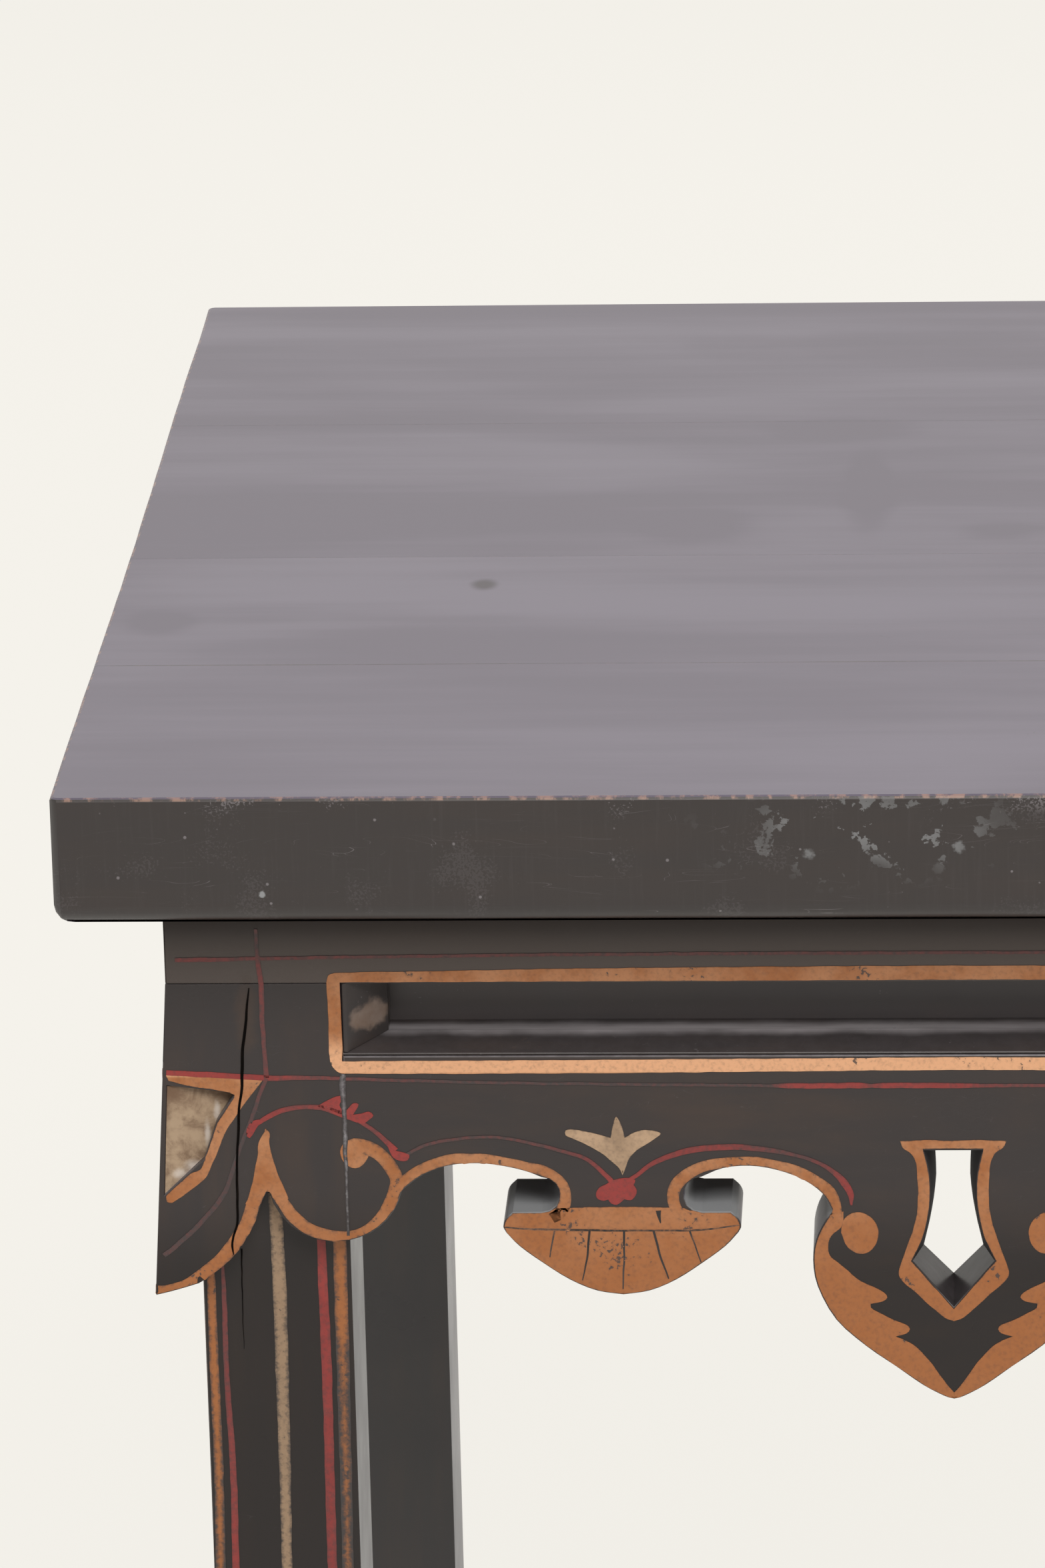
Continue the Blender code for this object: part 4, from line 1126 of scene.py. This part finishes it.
def bare_gesso(at, colours):
    """The pale, stained ground in the scoops of the posts."""
    stains = at.cloud(85, 5, 0.62, 0.5)
    grit = at.cloud(420, 4)
    base = blend(stains.ramp(0.42, 0.68, 0, 0.85), colours.gesso, colours.gesso_stain)
    base = blend(grit.ramp(0.45, 0.8, 0, 0.35), base, colours.gesso_stain)
    # Darker towards the top of each scoop
    upper = at.axes()[2].ramp(*off(apron_top, -26, -13))
    base = blend(upper * stains.ramp(0.3, 0.6, 0.2, 0.9), base, colours.gesso_stain)
    # Pale chalk that also stands as painted highlight on the lower edges and rims of the scoops
    for (x, drop), (wide, tall) in CHALK_AND_HIGHLIGHT_MARKS:
        centre = (x * MM, -apron_face, apron_top - drop * MM)
        chalk_and_highlight = at.mask("spot", centre=centre, size=(wide * MM, 0.02, tall * MM), core=0.1, raggedness=0.9,
                        ragged_scale=210)
        base = blend(chalk_and_highlight * 0.8, base, colours.chalk_and_highlight)
    finish_material(base, stains.ramp(0.3, 0.7, 0.6, 0.75), stains + grit * 0.5, bump=0.6, distance=0.0004)


def bare_wood(at, colours):
    """Plain softwood with its grain along the piece, for the hidden joinery."""
    bent = at.vectors("ADD", at.cloud(3, 2, 0.5)).scaled((3, 3, 1))
    inputs = {"Vector": bent, "Scale": 28, "Distortion": 3, "Detail": 3}
    rings = Value(node(at.tree, "ShaderNodeTexWave", inputs, bands_direction="DIAGONAL")["Fac"])
    pores = at.scaled((200, 200, 30)).cloud(1, 4)
    base = blend(rings.ramp(0.3, 0.95, 0, 0.7), colours.wood, colours.wood_dark)
    base = blend(pores.ramp(0.5, 0.8, 0, 0.5), base, colours.wood_dark)
    finish_material(base, pores.ramp(0.3, 0.7, 0.55, 0.7), pores, bump=0.4)


MATERIALS = {
    # name: what builds it, and its choices
    "leg_lacquer": (black_lacquer, {"grain": (60, 60, 8)}),
    "rail_lacquer": (black_lacquer, {"grain": (14, 14, 60)}),
    "joinery_lacquer": (black_lacquer, {"grain": (60, 60, 8)}),
    "slot_lacquer": (slot_lacquer, {}),
    "top_lacquer": (top_lacquer, {}),
    "gold_paint": (paint, {"main": "gold", "second": "gold_deep", "wear": 0.78, "roughness": 0.46,
                           "deepens": 0.9, "bright": "gold_bright_and_lit"}),
    "red_paint": (paint, {"main": "red", "second": "red_bud", "wear": 0.4, "solid": (-0.34, 0.5)}),
    "cream_paint": (paint, {"main": "cream", "second": "cream_deep", "wear": 0.5, "roughness": 0.55,
                            "deepens": 0.9}),
    "filler_chalk": (paint, {"main": "filler", "second": "dust_and_sheen", "wear": 0.8, "roughness": 0.7}),
    "ink_line": (paint, {"main": "ink_and_shade", "second": "lacquer", "wear": 0.7, "roughness": 0.7,
                         "ground": "gold"}),
    "dark_crack": (dark_crack, {}),
    "bare_gesso": (bare_gesso, {}),
    "bare_softwood": (bare_wood, {}),
}


def material(name):
    """One of the table's materials by its name. It is built the first time that it is asked for."""
    if name not in bpy.data.materials:
        tree = cleared(bpy.data.materials.new(name))
        build, choices = MATERIALS[name]
        build(Value(node(tree, "ShaderNodeTexCoord")["Object"]), settings().colours, **choices)
    return bpy.data.materials[name]


# Operators

LAMPS = (
    # name, place, the point that it faces, side length, setting of its power, tint
    ("front_softbox", (0.6, -2.8, 3.5), (0, -0.3, 0.6), 1.8, "key_power", (1, 0.985, 0.965)),
    ("back_softbox", (0, 3.6, 2.3), (0, 0, 0.8), 3.2, "sheen_power", (0.97, 0.9, 1)),
)
WORLD_TINT = (1, 0.99, 0.985, 1)
FLOOR_COVER = 0.86  # share of the floor's plain colour that the camera sees; the rest keeps the shadow


class TABLE_OT_top(bpy.types.Operator):
    """Softens the four boards of the top, closes their joints and lets their ends wander"""

    bl_idname = "table.top"
    bl_label = "Top boards"

    def execute(self, context):
        sizes = settings().woodwork
        for name in BOARDS:
            bm = merged_copy(name)
            flatten(bm)
            low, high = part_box(name)
            for i in range(1, BOARD_CUTS):
                cut = (0, low.y + (high.y - low.y) * i / BOARD_CUTS, 0)
                whole = bm.verts[:] + bm.edges[:] + bm.faces[:]
                bmesh.ops.bisect_plane(bm, geom=whole, plane_co=cut, plane_no=(0, 1, 0))
            for vert in bm.verts:
                self.close(vert, low, high, sizes.board_gap)
                self.wander(vert, sizes.side_wave)
            corners = sharp_edges(bm, lambda e: all(self.is_corner(v.co) for v in e.verts))
            ease(bm, corners, CORNER_EASE)
            woodwork_piece(name, bm, "top_lacquer", angle=30)
        return {"FINISHED"}

    @staticmethod
    def is_corner(point):
        """Whether a point is at one of the top's upright corner edges."""
        return min(abs(point.x), abs(point.y)) > table_half - CORNER_EASE

    @staticmethod
    def close(vert, low, high, gap):
        """Moves the face of a joint nearly onto its neighbour's."""
        for edge, way in ((low.y, -1), (high.y, 1)):
            if abs(edge) < table_half - MM and abs(vert.co.y - edge) < 0.05 * MM:
                vert.co.y += way * (HALF_JOINT - gap / 2)

    @staticmethod
    def wander(vert, most):
        """Draws an end of a board in, by more and less along the side."""
        if abs(vert.co.x) > table_half - 10 * MM:
            start = WAVE_STARTS["left" if vert.co.x < 0 else "right"]
            share = 0.5 + 0.5 * math.sin(vert.co.y * WAVES + start)
            ripple = abs(noise.noise(Vector((vert.co.y * RIPPLES, vert.co.x, 0))))
            share = (1 - RIPPLE_SHARE) * share + RIPPLE_SHARE * ripple
            ends = min(1, (table_half - abs(vert.co.y)) / ENDS_FADE)
            vert.co.x -= math.copysign(most * share * ends, vert.co.x)


class TABLE_OT_frame(bpy.types.Operator):
    """Softens the rails, the aprons and the pieces of the slots"""

    bl_idname = "table.frame"
    bl_label = "Rails, aprons and slots"

    def execute(self, context):
        offset = settings().woodwork.edge_ease
        for quarters, side in enumerate(SIDES):
            for ending in ("rail", "apron", "slot_panel", "slot_sill", "slot_end_left", "slot_end_right"):
                name = f"{side}_{ending}"
                bm = dressed_apron(quarters) if ending == "apron" else merged_copy(name)
                flatten(bm)
                ease(bm, sharp_edges(bm, outside), offset)
                woodwork_piece(name, bm, "slot_lacquer" if "slot" in ending else "rail_lacquer")
        return {"FINISHED"}


class TABLE_OT_legs(bpy.types.Operator):
    """Softens the legs and bares the gesso in their scoops"""

    bl_idname = "table.legs"
    bl_label = "Legs"

    def execute(self, context):
        offset = settings().woodwork.edge_ease
        for name in LEGS:
            bm = merged_copy(name)
            for face in bm.faces:
                face.material_index = int(is_scoop(face))
            flatten(bm, delimit={"MATERIAL"})
            ease(bm, sharp_edges(bm, self.shows), offset)
            woodwork_piece(name, bm, "leg_lacquer", "bare_gesso")
        return {"FINISHED"}

    @staticmethod
    def shows(edge):
        """Whether an edge of a leg is below the rail and on one of the outer faces or the shaft."""
        a, b = (vert.co for vert in edge.verts)
        below = max(a.z, b.z) < under_rail - MM
        corner = min(abs(a.x), abs(a.y), abs(b.x), abs(b.y)) > post_inside - MM
        return below and corner and (outside(edge) or max(a.z, b.z) < apron_top - SHAFT_START)


class TABLE_OT_joinery(bpy.types.Operator):
    """Gives the battens, tongues and pins their bare or lacquered wood"""

    bl_idname = "table.joinery"
    bl_label = "Hidden joinery"

    def execute(self, context):
        for name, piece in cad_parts.items():
            if piece.hide_render:
                continue
            for slot in piece.material_slots:
                slot.material = material("joinery_lacquer" if "batten" in name else "bare_softwood")
        return {"FINISHED"}


class TABLE_OT_gold(bpy.types.Operator):
    """Paints the gold bands, leaves, lotus bowls, slot frame and stripes"""

    bl_idname = "table.gold"
    bl_label = "Gold paint"

    def execute(self, context):
        brush = Painter(Front(), 0)
        for line, widths in BAND_LINES:
            brush.stroke(line, widths, lean=1.0)
        for runs in (SCOOP_LEAF, CROTCH_TIP, CURL_EYE, HEART_BALL, HEART_LEAF, LOTUS_BOWL):
            brush.shape(runs)
        brush.shape(whole_outline(VASE_BAND), whole_outline(VASE_HOLE), mirrored=False)
        brush.shape(whole_outline(SLOT_FRAME), whole_outline(SLOT_OPENING), mirrored=False, worn=False)
        brush.stripes("gold")
        side_pieces(brush.bm, "gold_paint", "gold_paint")
        return {"FINISHED"}


class TABLE_OT_red(bpy.types.Operator):
    """Paints the red lines, sprigs, buds and stripes"""

    bl_idname = "table.red"
    bl_label = "Red paint"

    def execute(self, context):
        brush = Painter(Front(), 1, 0.8)
        for line, widths, loads in RED_LINES:
            brush.stroke(line, widths, loads)
        for line, widths, loads in RED_WHOLE_LINES:
            brush.stroke(line, widths, loads, mirrored=False)
        for run in SPRIG_SHAPES:
            brush.shape((run,))
        brush.shape(LOTUS_BUD)
        brush.stripes("red")
        side_pieces(brush.bm, "red_paint", "red_paint")
        return {"FINISHED"}


class TABLE_OT_cream(bpy.types.Operator):
    """Paints the cream lotus flowers and stripes"""

    bl_idname = "table.cream"
    bl_label = "Cream paint"

    def execute(self, context):
        brush = Painter(Front(), 2)
        brush.shape(LOTUS_FLOWER)
        brush.stripes("cream")
        side_pieces(brush.bm, "cream_paint", "cream_paint")
        return {"FINISHED"}


class TABLE_OT_lines(bpy.types.Operator):
    """Draws the black lines on the lotus bowls, the crack in a leg as a stroke of painted shadow, and the
    chalky filler at the joints
    """

    bl_idname = "table.lines"
    bl_label = "Black lines and filler"

    def execute(self, context):
        front = Front()
        brush = Painter(front, 1, 0.85)
        for line, widths, load in BOWL_LINES:
            brush.stroke(line, widths, (load,) * len(line))
        side_pieces(brush.bm, "black_lines", "ink_line")
        brush = Painter(front, 4)
        for i, (line, widths) in enumerate(CRACK_LINES):
            brush.stroke(line, widths, mirrored=False, shaft=i > 0)
        side_pieces(brush.bm, "crack", "dark_crack", ("front",))
        brush = Painter(front, 2)
        brush.stroke(*FILLER_LINE)
        side_pieces(brush.bm, "joint_filler", "filler_chalk")
        return {"FINISHED"}


class TABLE_OT_stage(bpy.types.Operator):
    """Sets the floor, the world, the lamps and the camera"""

    bl_idname = "table.stage"
    bl_label = "Stage"

    def execute(self, context):
        stage = settings().stage
        self.floor(stage)
        self.world(stage)
        for name, where, towards, size, power, tint in LAMPS:
            self.lamp(name, where, towards, size, getattr(stage, power), tint)
        self.camera(stage)
        context.scene.view_settings.view_transform = "Standard"
        return {"FINISHED"}

    @staticmethod
    def shown_or_lit(tree, lit, shown, cover):
        """A plain shader that is more even to the camera and in reflections than it is as a light."""
        rays = node(tree, "ShaderNodeLightPath")
        seen = Value(rays["Is Camera Ray"]).most(rays["Is Glossy Ray"]).most(rays["Is Transmission Ray"])
        return node(tree, "ShaderNodeMixShader", {0: seen * cover, 1: lit, 2: shown})[0]

    def floor(self, stage):
        """A pale floor that keeps a soft shadow."""
        bm = bmesh.new()
        bmesh.ops.create_circle(bm, cap_ends=True, segments=96, radius=stage.floor_radius)
        mesh = bpy.data.meshes.new("floor")
        bm.to_mesh(mesh)
        bm.free()
        mesh.materials.append(bpy.data.materials.new("pale_floor"))
        tree = cleared(mesh.materials[0])
        lit = node(tree, "ShaderNodeBsdfDiffuse", {"Color": stage.floor})[0]
        shown = node(tree, "ShaderNodeEmission", {"Color": stage.floor, "Strength": 1})[0]
        node(tree, "ShaderNodeOutputMaterial", {"Surface": self.shown_or_lit(tree, lit, shown, FLOOR_COVER)})
        linked("floor", mesh)

    def world(self, stage):
        """Even light from all round, and the backdrop's colour to the camera."""
        world = bpy.data.worlds.new("studio")
        tree = cleared(world)
        lit = node(tree, "ShaderNodeBackground", {"Color": WORLD_TINT, "Strength": stage.world_level})[0]
        shown = node(tree, "ShaderNodeBackground", {"Color": stage.backdrop, "Strength": 1})[0]
        node(tree, "ShaderNodeOutputWorld", {"Surface": self.shown_or_lit(tree, lit, shown, 1)})
        bpy.context.scene.world = world

    @staticmethod
    def lamp(name, where, towards, size, power, tint):
        """A large square lamp that faces a point."""
        data = bpy.data.lights.new(name, "AREA")
        data.shape, data.size, data.energy, data.color = "SQUARE", size, power, tint
        lamp = linked(name, data)
        lamp.location = where
        lamp.rotation_euler = (Vector(towards) - Vector(where)).to_track_quat("-Z", "Y").to_euler()

    @staticmethod
    def camera(stage):
        """The camera at the photograph's viewing angle."""
        data = bpy.data.cameras.new("camera")
        data.lens, data.sensor_width = stage.camera_lens, 36.0
        data.clip_end = 100
        camera = linked("camera", data)
        turned = Matrix.Rotation(stage.camera_yaw, 4, "Z")
        turned = turned @ Matrix.Rotation(math.pi / 2 - stage.camera_pitch, 4, "X")
        turned = turned @ Matrix.Rotation(stage.camera_roll, 4, "Z")
        camera.matrix_world = Matrix.Translation(stage.camera_place) @ turned
        bpy.context.scene.camera = camera


OPERATORS = (
    TABLE_OT_top, TABLE_OT_frame, TABLE_OT_legs, TABLE_OT_joinery, TABLE_OT_gold, TABLE_OT_red,
    TABLE_OT_cream, TABLE_OT_lines, TABLE_OT_stage,
)


class TABLE_PT_finish(bpy.types.Panel):
    """Lists the steps of the finish and its settings"""

    bl_idname = "TABLE_PT_finish"
    bl_label = "Side Table"
    bl_space_type = "VIEW_3D"
    bl_region_type = "UI"
    bl_category = "Side Table"

    def draw(self, context):
        for operator in OPERATORS:
            self.layout.operator(operator.bl_idname)
        for group in ("woodwork", "paint", "colours", "stage"):
            box = self.layout.box()
            box.label(text=group.capitalize())
            held = getattr(context.scene.table_finish, group)
            for name in held.__annotations__:
                box.prop(held, name)


CLASSES = (WoodworkSizes, PaintSizes, FinishColours, StageSizes, TableFinish, *OPERATORS, TABLE_PT_finish)


def register():
    for made in CLASSES:
        bpy.utils.register_class(made)
    bpy.types.Scene.table_finish = bpy.props.PointerProperty(type=TableFinish)


def unregister():
    del bpy.types.Scene.table_finish
    for made in reversed(CLASSES):
        bpy.utils.unregister_class(made)


def main():
    register()
    bpy.ops.table.top()
    bpy.ops.table.frame()
    bpy.ops.table.legs()
    bpy.ops.table.joinery()
    bpy.ops.table.gold()
    bpy.ops.table.red()
    bpy.ops.table.cream()
    bpy.ops.table.lines()
    bpy.ops.table.stage()
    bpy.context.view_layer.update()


if __name__ == "__main__":
    main()
